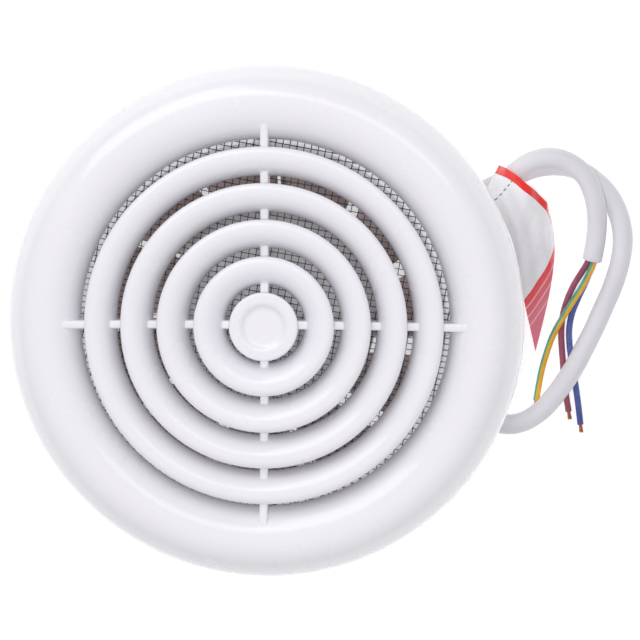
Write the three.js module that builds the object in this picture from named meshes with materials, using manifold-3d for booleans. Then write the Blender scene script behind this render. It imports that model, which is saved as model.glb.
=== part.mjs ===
// Round bathroom extractor fan, lying on the end of its duct spigot with the grille facing up.
// Millimetres. Origin: fan axis at the discharge end of the spigot. +Z: along the axis to the grille.
import * as THREE from "three";
import { mergeVertices } from "three/addons/utils/BufferGeometryUtils.js";
import Module from "manifold-3d";

const wasm = await Module();
wasm.setup();

// ---------------------------------------------------------------- driving dimensions
const GAP = 0.3; // clearance between neighbouring pieces

// Room-side panel
const CREST_R = 77; // highest circle of the rounded bezel
const THROAT_R = 64; // inner edge of the bezel
const CREST_Z = 95.5;
const THROAT_Z = 83.3;
const RIM_Z = 78.3; // back edge of the panel
const SHELL = 2.2; // wall of the bezel
const LIP_Z = 95; // plane of the ring vanes' front lips
const RING_OUTER_R = [62, 49.5, 37, 24.3];
const RING_DEPTH = 11;
const RING_SPREAD = 10.6; // how far a vane runs inwards from its lip
const RING_WALL = 2;
const LIP_WIDTH = 2.5;
const HUB_CAP_R = 11.9;
const HUB_DISH_R = 7.2;
const HUB_CAP_DEPTH = 9;
const SPOKE_W = 3;
const SPOKE_TOP = [[0, 89.2], [27.4, 89.3], [40.3, 90.2], [53.4, 91.2], [69.7, 93.4]]; // radius, height
const SKIRT_R = 67.1; // ring behind the bezel that locates the screen
const SKIRT_WALL = 1.5;
const CLIP_W = 10;
const CLIP_END_Z = 72;

// Duct housing
const DUCT_R = 61.5;
const DUCT_WALL = 2;
const DUCT_TOP_Z = 80;
const FLANGE_R = 82;
const FLANGE_T = 2.5;
const FIXING_R = 76; // radius of the ceiling screw holes
const BOSS_R = 55.5; // radius of the bracket screws
const BOSS_TOP_Z = 33;
const BOSS_HALF_W = 5.5;
const PILOT_R = 1.6; // screw's hole in a boss
const FIXING_HOLE_R = 2.3;
const CLIP_CLEARANCE = 0.6;
const WALL_HOLE_R = 6.3; // the cord's way through the duct wall

// Motor and its bracket
const ARM_W = 10;
const BRACKET_Z = 12.3;
const BRACKET_T = 2.5;
const MOTOR_R = 30;
const MOTOR_WALL = 1.5;
const MOTOR_REAR_Z = BRACKET_Z + BRACKET_T + GAP;
const STACK_Z = 30.3;
const STACK_H = 16;
const MOTOR_FRONT_Z = 60;
const BOLT_CIRCLE_R = 26.6;
const BOLT_R = 1.4;
const BEARING_R = 9;
const BEARING_H = 5;
const SHAFT_R = 4;
const RUNNING_GAP = 0.06; // radial, shaft in bearing
const SHAFT_Z = [17.2, 77];
const ROTOR_R = 13.2;
const MOTOR_HOLE_R = 5.4; // the cord's way into the motor
const SCREW_HOLE_R = 1.8;
const SLOT_MOUTH_HALF_W = 1.2;
const MOTOR_NUT = 5; // across flats

// Impeller
const HUB_R = 38;
const HUB_SKIRT_Z = 44.3;
const HUB_FRONT_Z = 68.6;
const BLADE_COUNT = 11;
const BLADE_TIP_R = 57.5;
const BLADE_MID_Z = 56;
const BLADE_COVER = 0.84; // share of the circle that the blades cover
const BLADE_ROOT_RISE = 9; // half of a blade's height at its root
const BLADE_TAPER = 1.6; // loss of that height towards the tip
const BLADE_SWEEP = 0.1; // radians, root to tip
const BLADE_CAMBER = 1.8;
const IMPELLER_NUT = 13; // across flats
const THRUST_WASHER_Z = [22.6, 23.6];

// Supply cord
const CORD_D = 7.5;
const CORE_D = 2.4;
const COPPER_R = 0.7;
const EXIT_ANGLE = THREE.MathUtils.degToRad(28);
const EXIT_Z = 13; // height of the cord hole in the duct wall
const EXIT_TILT = THREE.MathUtils.degToRad(18); // the strain relief points down by this much
const RELIEF_LENGTH = 20;
const MOTOR_ENTRY_Z = 22.9;

// ---------------------------------------------------------------- geometry helpers
const v3 = (x, y, z) => new THREE.Vector3(x, y, z);
const QUARTER = Math.PI / 2;
const fourAngles = (first) => [0, 1, 2, 3].map((i) => first + i * QUARTER);

// Solid of revolution about Z from [radius, z] points, closed or starting and ending on the axis.
function turned(profile, segments) {
  const points = profile.map(([r, z]) => new THREE.Vector2(r, z));
  const onAxis = points[0].x === 0 && points.at(-1).x === 0;
  if (THREE.ShapeUtils.area(points) < 0) points.reverse();
  if (!onAxis) points.push(points[0].clone());
  return new THREE.LatheGeometry(points, segments).rotateX(QUARTER);
}

function ring(innerR, outerR, z0, z1, segments) {
  const section = [
    [innerR, z0],
    [outerR, z0],
    [outerR, z1],
    [innerR, z1],
  ];
  return turned(section, segments);
}

// Upright cylinder or prism standing on z0.
function post(radius, z0, z1, segments) {
  const height = z1 - z0;
  return new THREE.CylinderGeometry(radius, radius, height, segments)
    .rotateX(QUARTER)
    .translate(0, 0, z0 + height / 2);
}

// Box from its lowest and highest corners.
function block(low, high) {
  const size = high.map((v, i) => v - low[i]);
  const mid = high.map((v, i) => (v + low[i]) / 2);
  return new THREE.BoxGeometry(...size).translate(...mid);
}

function toSolid(geometry) {
  const bare = geometry.clone();
  bare.deleteAttribute("normal");
  bare.deleteAttribute("uv");
  const merged = mergeVertices(bare, 1e-4);
  const mesh = new wasm.Mesh({
    numProp: 3,
    vertProperties: merged.attributes.position.array,
    triVerts: new Uint32Array(merged.index.array),
  });
  return new wasm.Manifold(mesh);
}

function toGeometry(solid) {
  const mesh = solid.getMesh();
  const geometry = new THREE.BufferGeometry();
  geometry.setAttribute("position", new THREE.BufferAttribute(mesh.vertProperties, 3));
  geometry.setIndex(new THREE.BufferAttribute(mesh.triVerts, 1));
  geometry.computeVertexNormals();
  return geometry;
}

const join = (...pieces) =>
  toGeometry(pieces.map(toSolid).reduce((sum, piece) => sum.add(piece)));

const cut = (body, ...tools) =>
  toGeometry(tools.map(toSolid).reduce((left, tool) => left.subtract(tool), toSolid(body)));

// Round tube along a curve.
function tube(curve, radius, steps, sides) {
  const outline = new THREE.Shape();
  for (let i = 0; i < sides; i++) {
    const a = (2 * Math.PI * i) / sides;
    const x = radius * Math.cos(a);
    const y = radius * Math.sin(a);
    if (i === 0) outline.moveTo(x, y);
    else outline.lineTo(x, y);
  }
  outline.closePath();
  return new THREE.ExtrudeGeometry(outline, { steps, extrudePath: curve });
}

const smoothThrough = (points) =>
  new THREE.CatmullRomCurve3(points.map((p) => v3(...p)), false, "centripetal");

// Quarter-ellipse points from straight up (front) to level (side), radius growing by sign.
function quarterEllipse(r, z, halfWidth, halfHeight, sign, count) {
  return Array.from({ length: count + 1 }, (_, i) => {
    const a = (QUARTER * i) / count;
    return [r + sign * halfWidth * Math.sin(a), z + halfHeight * Math.cos(a)];
  });
}

// ---------------------------------------------------------------- front cover
function bezelProfile() {
  const half = CREST_R - THROAT_R;
  const throat = quarterEllipse(CREST_R, THROAT_Z, half, CREST_Z - THROAT_Z, -1, 4);
  const outer = quarterEllipse(CREST_R, RIM_Z, half, CREST_Z - RIM_Z, 1, 5);
  const inside = half - SHELL;
  const backTop = CREST_Z - SHELL;
  const backThroat = quarterEllipse(CREST_R, THROAT_Z, inside, backTop - THROAT_Z, -1, 3);
  const backOuter = quarterEllipse(CREST_R, RIM_Z, inside, backTop - RIM_Z, 1, 3);
  const front = [...throat.reverse(), ...outer.slice(1)];
  const back = [...backOuter.reverse(), ...backThroat.slice(1)];
  return [...front, ...back];
}

function ringVaneProfile(outerR) {
  const cornerR = outerR - LIP_WIDTH;
  const rootZ = LIP_Z - RING_DEPTH;
  const spread = RING_SPREAD - LIP_WIDTH;
  const face = quarterEllipse(cornerR, rootZ, spread, RING_DEPTH, -1, 3);
  const back = quarterEllipse(
    cornerR, rootZ, spread - RING_WALL, RING_DEPTH - RING_WALL, -1, 2,
  );
  return [
    [outerR, LIP_Z - RING_WALL],
    [outerR - 0.7, LIP_Z - 0.6],
    ...face,
    ...back.reverse(),
  ];
}

function hubCapProfile() {
  return [
    [0, LIP_Z - HUB_CAP_DEPTH],
    [HUB_CAP_R - 2.6, LIP_Z - HUB_CAP_DEPTH],
    [HUB_CAP_R, LIP_Z - 1.8],
    [HUB_CAP_R - 1.2, LIP_Z - 0.2],
    [HUB_DISH_R + 1.2, LIP_Z],
    [HUB_DISH_R, LIP_Z - 0.9],
    [0, LIP_Z - 1.4],
  ];
}

// Two spokes in line, whose top edge rises outwards.
function spokeBar() {
  const low = LIP_Z - RING_DEPTH;
  const endR = SPOKE_TOP.at(-1)[0];
  const outline = new THREE.Shape();
  outline.moveTo(-endR, low);
  outline.lineTo(endR, low);
  for (const [r, z] of SPOKE_TOP.toReversed()) outline.lineTo(r, z);
  for (const [r, z] of SPOKE_TOP.slice(1)) outline.lineTo(-r, z);
  return new THREE.ExtrudeGeometry(outline, { depth: SPOKE_W, bevelEnabled: false })
    .translate(0, 0, -SPOKE_W / 2)
    .rotateX(QUARTER);
}

function frontGrille() {
  const skirtTop = THROAT_Z + 5.5;
  const clips = fourAngles(Math.PI / 4).map((a) =>
    block([SKIRT_R + 0.1, -CLIP_W / 2, CLIP_END_Z], [SKIRT_R + SKIRT_WALL, CLIP_W / 2, skirtTop - 1])
      .rotateZ(a));
  return join(
    turned(bezelProfile(), 48),
    ...RING_OUTER_R.map((r, i) => turned(ringVaneProfile(r), 40 - 6 * i)),
    turned(hubCapProfile(), 20),
    spokeBar(),
    spokeBar().rotateZ(QUARTER),
    ring(SKIRT_R, SKIRT_R + SKIRT_WALL, DUCT_TOP_Z + GAP, skirtTop, 48),
    ...clips,
  );
}

const SCREEN_T = 0.5;
const SCREEN_TOP_Z = THROAT_Z - GAP;

const insectScreen = () => post(SKIRT_R - 0.6, SCREEN_TOP_Z - SCREEN_T, SCREEN_TOP_Z, 40);

const screenRetainer = () =>
  ring(SKIRT_R - 4.6, SKIRT_R - 0.4, DUCT_TOP_Z + 0.4, SCREEN_TOP_Z - SCREEN_T - GAP, 40);

// ---------------------------------------------------------------- duct housing
function ductHousing() {
  const bore = DUCT_R - DUCT_WALL;
  const flangeZ = DUCT_TOP_Z - FLANGE_T;
  const profile = [
    [bore, 0],
    [DUCT_R, 0],
    [DUCT_R, flangeZ],
    [FLANGE_R, flangeZ],
    [FLANGE_R, DUCT_TOP_Z],
    [bore, DUCT_TOP_Z],
  ];
  const bossLow = MOTOR_REAR_Z;
  const bosses = fourAngles(0).map((a) =>
    block([BOSS_R - 3.4, -BOSS_HALF_W, bossLow], [bore + 1, BOSS_HALF_W, BOSS_TOP_Z]).rotateZ(a));
  const pilotHoles = fourAngles(0).map((a) =>
    post(PILOT_R, bossLow - 1, bossLow + 12, 8).translate(BOSS_R, 0, 0).rotateZ(a));
  const clipSlots = fourAngles(Math.PI / 4).map((a) =>
    block([SKIRT_R - 0.4, -CLIP_W / 2 - CLIP_CLEARANCE, flangeZ - 1],
      [SKIRT_R + SKIRT_WALL + CLIP_CLEARANCE, CLIP_W / 2 + CLIP_CLEARANCE, DUCT_TOP_Z + 1])
      .rotateZ(a));
  const fixingHoles = fourAngles(0).map((a) =>
    post(FIXING_HOLE_R, flangeZ - 1, DUCT_TOP_Z + 1, 10).translate(FIXING_R, 0, 0).rotateZ(a));
  const cordHole = radialPart(post(WALL_HOLE_R, bore - 5, DUCT_R + 5, 16), EXIT_Z);
  return cut(
    join(turned(profile, 48), ...bosses),
    ...pilotHoles, ...clipSlots, ...fixingHoles, cordHole,
  );
}

// Lays a piece made along +Z on the radial line at the cord's exit angle, at height z.
const radialPart = (geometry, z) =>
  geometry.rotateY(QUARTER).rotateZ(EXIT_ANGLE).translate(0, 0, z);

// ---------------------------------------------------------------- bracket and fasteners
const SCREW_HEAD_Z = [BRACKET_Z - 2.4, BRACKET_Z - GAP];

function motorBracket() {
  const z0 = BRACKET_Z;
  const z1 = BRACKET_Z + BRACKET_T;
  const reach = DUCT_R - DUCT_WALL - 1.7;
  const half = ARM_W / 2;
  const spider = join(
    post(MOTOR_R - 0.5, z0, z1, 32),
    block([-reach, -half, z0], [reach, half, z1]),
    block([-half, -reach, z0], [half, reach, z1]),
  );
  const screwHoles = fourAngles(0).map((a) =>
    post(SCREW_HOLE_R, z0 - 1, z1 + 1, 8).translate(BOSS_R, 0, 0).rotateZ(a));
  return cut(spider, post(BEARING_R + 1, z0 - 1, z1 + 1, 20), ...screwHoles, ...boltHoles(z0, z1));
}

const boltHoles = (z0, z1) =>
  fourAngles(Math.PI / 4).map((a) =>
    post(BOLT_R + GAP + 0.1, z0 - 1, z1 + 1, 8).translate(BOLT_CIRCLE_R, 0, 0).rotateZ(a));

// Pan-head fastener: head at the rear, plain shank.
function panHead(headR, shankR, shankTopZ) {
  const [low, high] = SCREW_HEAD_Z;
  return turned([
    [0, low],
    [headR * 0.7, low],
    [headR, low + 0.9],
    [headR, high],
    [shankR, high],
    [shankR, shankTopZ],
    [0, shankTopZ],
  ], 8);
}

const bracketScrew = () => panHead(3.2, 1.3, MOTOR_REAR_Z + 10);
const motorBolt = () => panHead(2.9, BOLT_R, MOTOR_FRONT_Z + 3.6);

const hexNut = (acrossFlats, boreR, z0, z1) =>
  cut(post(acrossFlats / Math.sqrt(3), z0, z1, 6), post(boreR, z0 - 1, z1 + 1, 12));

// ---------------------------------------------------------------- motor
const POCKET_R = BEARING_R + GAP;
const POCKET_WALL = 1.7;
const STACK_TOP_Z = STACK_Z + STACK_H;

function motorRearShield() {
  const floor = MOTOR_REAR_Z + MOTOR_WALL;
  const pocketTop = floor + BEARING_H + 0.6;
  const cup = turned([
    [0, MOTOR_REAR_Z],
    [MOTOR_R, MOTOR_REAR_Z],
    [MOTOR_R, STACK_Z - GAP],
    [MOTOR_R - MOTOR_WALL, STACK_Z - GAP],
    [MOTOR_R - MOTOR_WALL, floor],
    [POCKET_R + POCKET_WALL, floor],
    [POCKET_R + POCKET_WALL, pocketTop],
    [POCKET_R, pocketTop],
    [POCKET_R, floor],
    [0, floor],
  ], 32);
  const cordHole = radialPart(post(MOTOR_HOLE_R, MOTOR_R - 4, MOTOR_R + 4, 14), MOTOR_ENTRY_Z);
  return cut(cup, cordHole, ...boltHoles(MOTOR_REAR_Z, floor));
}

function motorFrontShield() {
  const ceiling = MOTOR_FRONT_Z - MOTOR_WALL;
  const pocketLow = ceiling - BEARING_H - 0.6;
  const cup = turned([
    [SHAFT_R + 0.6, ceiling],
    [SHAFT_R + 0.6, MOTOR_FRONT_Z],
    [MOTOR_R, MOTOR_FRONT_Z],
    [MOTOR_R, STACK_TOP_Z + GAP],
    [MOTOR_R - MOTOR_WALL, STACK_TOP_Z + GAP],
    [MOTOR_R - MOTOR_WALL, ceiling],
    [POCKET_R + POCKET_WALL, ceiling],
    [POCKET_R + POCKET_WALL, pocketLow],
    [POCKET_R, pocketLow],
    [POCKET_R, ceiling],
  ], 32);
  return cut(cup, ...boltHoles(ceiling, MOTOR_FRONT_Z));
}

// Sector of a ring, centred on the direction of angle 0.
function sector(innerR, outerR, halfAngle, z0, z1) {
  const shape = new THREE.Shape();
  shape.absarc(0, 0, outerR, -halfAngle, halfAngle, false);
  shape.absarc(0, 0, innerR, halfAngle, -halfAngle, true);
  return new THREE.ExtrudeGeometry(shape, {
    depth: z1 - z0, bevelEnabled: false, curveSegments: 3,
  }).translate(0, 0, z0);
}

const SLOT_R = [16.5, 24.5];
const SLOT_HALF_ANGLE = THREE.MathUtils.degToRad(26);

function statorStack() {
  const slots = fourAngles(Math.PI / 4).map((a) =>
    sector(...SLOT_R, SLOT_HALF_ANGLE, STACK_Z - 1, STACK_TOP_Z + 1).rotateZ(a));
  const mouths = fourAngles(Math.PI / 4).map((a) =>
    block([ROTOR_R - 1, -SLOT_MOUTH_HALF_W, STACK_Z - 1],
      [SLOT_R[0] + 1, SLOT_MOUTH_HALF_W, STACK_TOP_Z + 1]).rotateZ(a));
  return cut(
    ring(ROTOR_R + GAP, MOTOR_R, STACK_Z, STACK_TOP_Z, 32),
    ...slots, ...mouths, ...boltHoles(STACK_Z, STACK_TOP_Z),
  );
}

function statorWinding() {
  const inner = SLOT_R[0] + GAP;
  const outer = SLOT_R[1] - GAP;
  const endTurn = 6;
  const rearTop = STACK_Z - GAP;
  const frontLow = STACK_TOP_Z + GAP;
  const bars = fourAngles(Math.PI / 4).map((a) =>
    sector(inner, outer, SLOT_HALF_ANGLE - 0.03, rearTop - 1, frontLow + 1).rotateZ(a));
  return join(
    roundedRing(inner, outer, rearTop - endTurn, rearTop),
    roundedRing(inner, outer, frontLow, frontLow + endTurn),
    ...bars,
  );
}

// Ring with chamfered edges, as a taped coil end has.
function roundedRing(innerR, outerR, z0, z1) {
  const c = 1.6;
  return turned([
    [innerR + c, z0],
    [outerR - c, z0],
    [outerR, z0 + c],
    [outerR, z1 - c],
    [outerR - c, z1],
    [innerR + c, z1],
    [innerR, z1 - c],
    [innerR, z0 + c],
  ], 20);
}

const bearing = (z0) => ring(SHAFT_R + RUNNING_GAP, BEARING_R, z0, z0 + BEARING_H, 24);

function rotorCore() {
  const endRing = 2;
  const bore = SHAFT_R + GAP;
  return turned([
    [bore, STACK_Z - endRing],
    [ROTOR_R - 1, STACK_Z - endRing],
    [ROTOR_R - 1, STACK_Z],
    [ROTOR_R, STACK_Z],
    [ROTOR_R, STACK_TOP_Z],
    [ROTOR_R - 1, STACK_TOP_Z],
    [ROTOR_R - 1, STACK_TOP_Z + endRing],
    [bore, STACK_TOP_Z + endRing],
  ], 24);
}

function motorShaft() {
  const [low, high] = SHAFT_Z;
  return turned([
    [0, low],
    [SHAFT_R - 0.5, low],
    [SHAFT_R, low + 0.5],
    [SHAFT_R, high - 0.6],
    [SHAFT_R - 0.6, high],
    [0, high],
  ], 24);
}

// ---------------------------------------------------------------- impeller
function impellerHub() {
  const wall = 1.6;
  const bore = SHAFT_R + GAP;
  return turned([
    [bore, MOTOR_FRONT_Z + 1],
    [9, MOTOR_FRONT_Z + 1],
    [9, HUB_FRONT_Z - 2.3],
    [HUB_R - 6, HUB_FRONT_Z - 3.4],
    [HUB_R - wall, HUB_FRONT_Z - 7],
    [HUB_R - wall, HUB_SKIRT_Z],
    [HUB_R, HUB_SKIRT_Z],
    [HUB_R, HUB_FRONT_Z - 6.5],
    [HUB_R - 1.5, HUB_FRONT_Z - 3.4],
    [HUB_R - 5, HUB_FRONT_Z - 1.4],
    [10, HUB_FRONT_Z],
    [10, HUB_FRONT_Z + 1.4],
    [bore, HUB_FRONT_Z + 1.4],
  ], 33);
}

// One twisted blade: arched sections at even radii, joined into a closed skin.
function blade(phase) {
  const stations = 3;
  const steps = 3;
  const thickness = 1.5;
  const rootR = HUB_R - 0.9;
  const vertices = [];
  for (let i = 0; i <= stations; i++) {
    const share = i / stations;
    const r = rootR + share * (BLADE_TIP_R - rootR);
    const halfSpan = (BLADE_COVER * Math.PI) / BLADE_COUNT;
    const halfHeight = BLADE_ROOT_RISE - BLADE_TAPER * share;
    for (let k = 0; k < 2 * (steps + 1); k++) {
      const onTop = k <= steps;
      const along = onTop ? k / steps : (2 * steps + 1 - k) / steps;
      const c = 2 * along - 1;
      const angle = phase + c * halfSpan + BLADE_SWEEP * share;
      const side = (onTop ? 0.5 : -0.5) * thickness;
      const z = BLADE_MID_Z + c * halfHeight + BLADE_CAMBER * (1 - c * c) + side;
      vertices.push(r * Math.cos(angle), r * Math.sin(angle), z);
    }
  }
  const around = 2 * (steps + 1);
  const index = [];
  for (let i = 0; i < stations; i++)
    for (let k = 0; k < around; k++) {
      const a = i * around + k;
      const b = i * around + ((k + 1) % around);
      index.push(a, a + around, b, b, a + around, b + around);
    }
  const last = stations * around;
  for (let k = 0; k < steps; k++) {
    const m = around - 1 - k;
    index.push(k, k + 1, m, k + 1, m - 1, m);
    index.push(last + k, last + m, last + k + 1, last + k + 1, last + m, last + m - 1);
  }
  const geometry = new THREE.BufferGeometry();
  geometry.setAttribute("position", new THREE.Float32BufferAttribute(vertices, 3));
  geometry.setIndex(index);
  return geometry;
}

function impeller() {
  const blades = Array.from({ length: BLADE_COUNT }, (_, i) =>
    blade((2 * Math.PI * i) / BLADE_COUNT));
  return join(impellerHub(), ...blades);
}

// ---------------------------------------------------------------- cord
// Point on the cord's radial line: distance from the fan axis and height.
const onExitLine = (r, z) => [r * Math.cos(EXIT_ANGLE), r * Math.sin(EXIT_ANGLE), z];

const RELIEF_END_R = DUCT_R + RELIEF_LENGTH * Math.cos(EXIT_TILT);
const RELIEF_END_Z = EXIT_Z - RELIEF_LENGTH * Math.sin(EXIT_TILT);

// Held stretch: from inside the motor, through the duct wall and the strain relief.
const heldRoute = [
  onExitLine(26.4, MOTOR_ENTRY_Z),
  onExitLine(29.5, MOTOR_ENTRY_Z),
  onExitLine(33, MOTOR_ENTRY_Z - 0.5),
  onExitLine(38, 20.9),
  onExitLine(44, 18.6),
  onExitLine(50, 16.4),
  onExitLine(56, 14.5),
  onExitLine(DUCT_R, EXIT_Z),
  onExitLine(71, EXIT_Z - 9.5 * Math.tan(EXIT_TILT)),
  onExitLine(RELIEF_END_R - GAP, RELIEF_END_Z + 0.1),
];

// Free stretch on the floor: out of the strain relief, round the loop, back under the panel,
// over its own start and down to the stripped end.
const sheathRoute = [
  onExitLine(RELIEF_END_R, RELIEF_END_Z),
  [77.4, 41.1, 4.9],
  [84.0, 44.4, 4.0],
  [91.0, 47.6, 3.8],
  [98.2, 49.8, 3.75],
  [105.5, 50.1, 3.75],
  [112.3, 48.2, 3.75],
  [118.4, 44.2, 3.75],
  [123.2, 39.0, 3.75],
  [126.6, 32.5, 3.75],
  [128.3, 25.0, 3.75],
  [127.8, 15.5, 3.75],
  [125.0, 5.5, 3.75],
  [120.9, -4.6, 3.8],
  [116.2, -14.8, 5.2],
  [111.4, -24.0, 6.6],
  [105.6, -33.2, 6.9],
  [98.6, -41.6, 6.5],
  [91.0, -46.4, 5.0],
  [83.2, -46.6, 3.9],
  [76.4, -42.4, 3.75],
  [71.9, -35.2, 3.75],
  [69.3, -26.5, 3.75],
  [67.9, -16.5, 3.75],
  [67.3, -6.0, 3.75],
  [67.5, 5.0, 3.8],
  [69.5, 16.0, 4.6],
  [73.6, 25.8, 7.0],
  [78.3, 33.8, 9.9],
  [81.9, 40.4, 12.1],
  [86.5, 46.6, 12.4],
  [92.8, 51.6, 12.1],
  [100.4, 53.6, 11.9],
  [107.8, 51.8, 11.9],
  [113.6, 46.9, 11.8],
  [117.1, 39.7, 10.5],
  [118.5, 31.5, 7.4],
  [118.4, 23.2, 4.9],
  [117.1, 14.9, 3.9],
];

// Cores on the floor, each from the stripped end of the sheath to its bare copper.
const coreRoutes = {
  brown: [
    [115.6, 14.4, 3.85],
    [113.6, 10.6, 2.6],
    [110.6, 5.4, 1.7],
    [108.2, -0.4, 1.3],
    [106.6, -6.6, 1.25],
    [106.2, -12.8, 1.25],
    [106.6, -19.5, 1.25],
    [107.3, -27.0, 1.25],
    [108.3, -36.0, 1.25],
    [109.4, -42.4, 1.25],
  ],
  blue: [
    [117.7, 14.3, 2.6],
    [116.4, 10.4, 2.2],
    [114.8, 6.0, 1.7],
    [112.4, 0.6, 1.3],
    [110.2, -5.2, 1.25],
    [109.2, -11.0, 1.25],
    [109.4, -17.0, 1.25],
    [110.4, -24.0, 1.25],
    [111.8, -32.0, 1.25],
    [113.0, -40.0, 1.25],
    [113.9, -47.3, 1.25],
  ],
  earth: [
    [117.7, 14.3, 5.15],
    [116.1, 10.2, 5.2],
    [113.5, 5.0, 4.8],
    [110.7, 0.4, 4.2],
    [107.6, -4.9, 4.0],
    [105.0, -9.4, 3.6],
    [102.8, -14.2, 2.4],
    [101.1, -19.4, 1.4],
    [99.3, -26.0, 1.25],
    [98.1, -32.4, 1.25],
    [97.2, -38.4, 1.25],
  ],
};

const sheath = () => tube(smoothThrough(sheathRoute), CORD_D / 2, 44, 8);
const core = (route) => tube(smoothThrough(route), CORE_D / 2, 11, 6);

// Bare copper: a short straight stub that carries on from the end of a core.
function copperEnd(route) {
  const curve = smoothThrough(route);
  const end = curve.getPoint(1);
  const along = curve.getTangent(1).setZ(0).normalize();
  const from = end.clone().addScaledVector(along, GAP);
  const to = end.clone().addScaledVector(along, GAP + 2.8);
  return tube(new THREE.LineCurve3(from, to), COPPER_R, 1, 6);
}

const innerCord = () => tube(smoothThrough(heldRoute), CORD_D / 2, 12, 8);

// Rubber strain relief: double-flanged grommet in the wall with a tapered tail that points down.
function strainRelief() {
  const insideFlange = [DUCT_R - DUCT_WALL - 2.4, DUCT_R - DUCT_WALL - 0.9];
  const outsideFlange = [DUCT_R + GAP, DUCT_R + 2];
  const grommet = radialPart(turned([
    [0, insideFlange[0]],
    [8, insideFlange[0]],
    [8, insideFlange[1]],
    [6, insideFlange[1]],
    [6, outsideFlange[0]],
    [8, outsideFlange[0]],
    [8, outsideFlange[1]],
    [0, outsideFlange[1]],
  ], 16), EXIT_Z);
  const tailStart = 2.6;
  const tail = new THREE.CylinderGeometry(4.75, 6.2, RELIEF_LENGTH - tailStart, 16)
    .rotateZ(-QUARTER)
    .translate((RELIEF_LENGTH + tailStart) / 2, 0, 0)
    .rotateY(EXIT_TILT)
    .rotateZ(EXIT_ANGLE)
    .translate(...onExitLine(DUCT_R, EXIT_Z));
  const passage = [
    onExitLine(48, 17.1),
    ...heldRoute.slice(6, 9),
    onExitLine(RELIEF_END_R + 4, RELIEF_END_Z - 4 * Math.tan(EXIT_TILT)),
  ];
  return cut(join(grommet, tail), tube(smoothThrough(passage), CORD_D / 2 + GAP + 0.1, 8, 12));
}

function motorGrommet() {
  const bore = CORD_D / 2 + GAP + 0.2;
  return radialPart(turned([
    [bore, 25.9],
    [6.1, 25.9],
    [6.1, 27.3],
    [5.1, 27.3],
    [5.1, MOTOR_R + GAP],
    [6.1, MOTOR_R + GAP],
    [6.1, MOTOR_R + 1.8],
    [bore, MOTOR_R + 1.8],
  ], 14), MOTOR_ENTRY_Z);
}

// Printed sheet rolled over both strands of the cord, with one long corner down on the floor.
function cordTag() {
  const mouth = smoothThrough([
    [81.6, 51.0, 12.0], [85.4, 49.6, 18.6], [90.9, 45.4, 19.6],
    [96.5, 40.9, 15.5], [100.0, 36.5, 10.0], [101.8, 30.3, 2.5],
  ]);
  const tail = smoothThrough([
    [75.4, 38.8, 15.0], [78.8, 35.3, 18.6], [84.6, 29.0, 17.8],
    [88.6, 18.0, 12.6], [92.6, -2.0, 5.6], [96.8, -20.0, 1.0],
  ]);
  const bulge = 3.2;
  const rows = 8;
  const columns = 5;
  const thickness = 0.5;
  const at = (i, j) => {
    const point = mouth.getPoint(i / rows).lerp(tail.getPoint(i / rows), j / columns);
    point.x += bulge * (i / rows) ** 3 * Math.sin(Math.PI * (j / columns) ** 0.7);
    return point;
  };
  const vertices = [];
  for (const offset of [0, -thickness])
    for (let i = 0; i <= rows; i++)
      for (let j = 0; j <= columns; j++) {
        const alongRow = at(Math.min(i + 1, rows), j).sub(at(Math.max(i - 1, 0), j));
        const alongColumn = at(i, columns).sub(at(i, 0));
        const normal = alongColumn.cross(alongRow).normalize();
        vertices.push(...at(i, j).addScaledVector(normal, offset * Math.sign(normal.z || 1)));
      }
  return sheetSkin(vertices, rows, columns);
}

// Closes two grids of points, the top one first, into a thin solid.
function sheetSkin(vertices, rows, columns) {
  const width = columns + 1;
  const layer = (rows + 1) * width;
  const at = (i, j, side) => side * layer + i * width + j;
  const index = [];
  const quad = (a, b, c, d) => index.push(a, b, c, a, c, d);
  for (let i = 0; i < rows; i++)
    for (let j = 0; j < columns; j++) {
      quad(at(i, j, 0), at(i, j + 1, 0), at(i + 1, j + 1, 0), at(i + 1, j, 0));
      quad(at(i, j, 1), at(i + 1, j, 1), at(i + 1, j + 1, 1), at(i, j + 1, 1));
    }
  for (let i = 0; i < rows; i++) {
    quad(at(i, 0, 0), at(i + 1, 0, 0), at(i + 1, 0, 1), at(i, 0, 1));
    quad(at(i, columns, 0), at(i, columns, 1), at(i + 1, columns, 1), at(i + 1, columns, 0));
  }
  for (let j = 0; j < columns; j++) {
    quad(at(0, j, 0), at(0, j, 1), at(0, j + 1, 1), at(0, j + 1, 0));
    quad(at(rows, j, 0), at(rows, j + 1, 0), at(rows, j + 1, 1), at(rows, j, 1));
  }
  const geometry = new THREE.BufferGeometry();
  geometry.setAttribute("position", new THREE.Float32BufferAttribute(vertices, 3));
  geometry.setIndex(index);
  return geometry;
}

// ---------------------------------------------------------------- materials
const finish = (color, roughness, metalness = 0) =>
  new THREE.MeshStandardMaterial({ color, roughness, metalness });

const whitePlastic = finish(0xf2f2f6, 0.25);
const wireMesh = finish(0x2c2c30, 0.6, 0.3);
const greyPlastic = finish(0xb8aaa7, 0.5);
const steel = finish(0xa9adb2, 0.35, 1);
const zincSteel = finish(0xb9bcc0, 0.4, 1);
const lamination = finish(0x5d6167, 0.5, 1);
const copper = finish(0xc5663c, 0.35, 1);
const bronze = finish(0xa67a3c, 0.45, 1);
const rubber = finish(0xc9c9cf, 0.7);
const cordSheath = finish(0xdcdce2, 0.45);
const fibre = finish(0xc8b48c, 0.8);
const printedFilm = finish(0xf3eef2, 0.3);
const coreColours = {
  brown: finish(0x964b66, 0.45),
  blue: finish(0x5560a8, 0.45),
  earth: finish(0xd9a53f, 0.45),
};

// ---------------------------------------------------------------- assembly
const fan = new THREE.Group();

function add(name, geometry, material) {
  const mesh = new THREE.Mesh(geometry, material);
  mesh.name = name;
  fan.add(mesh);
  return mesh;
}

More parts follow.
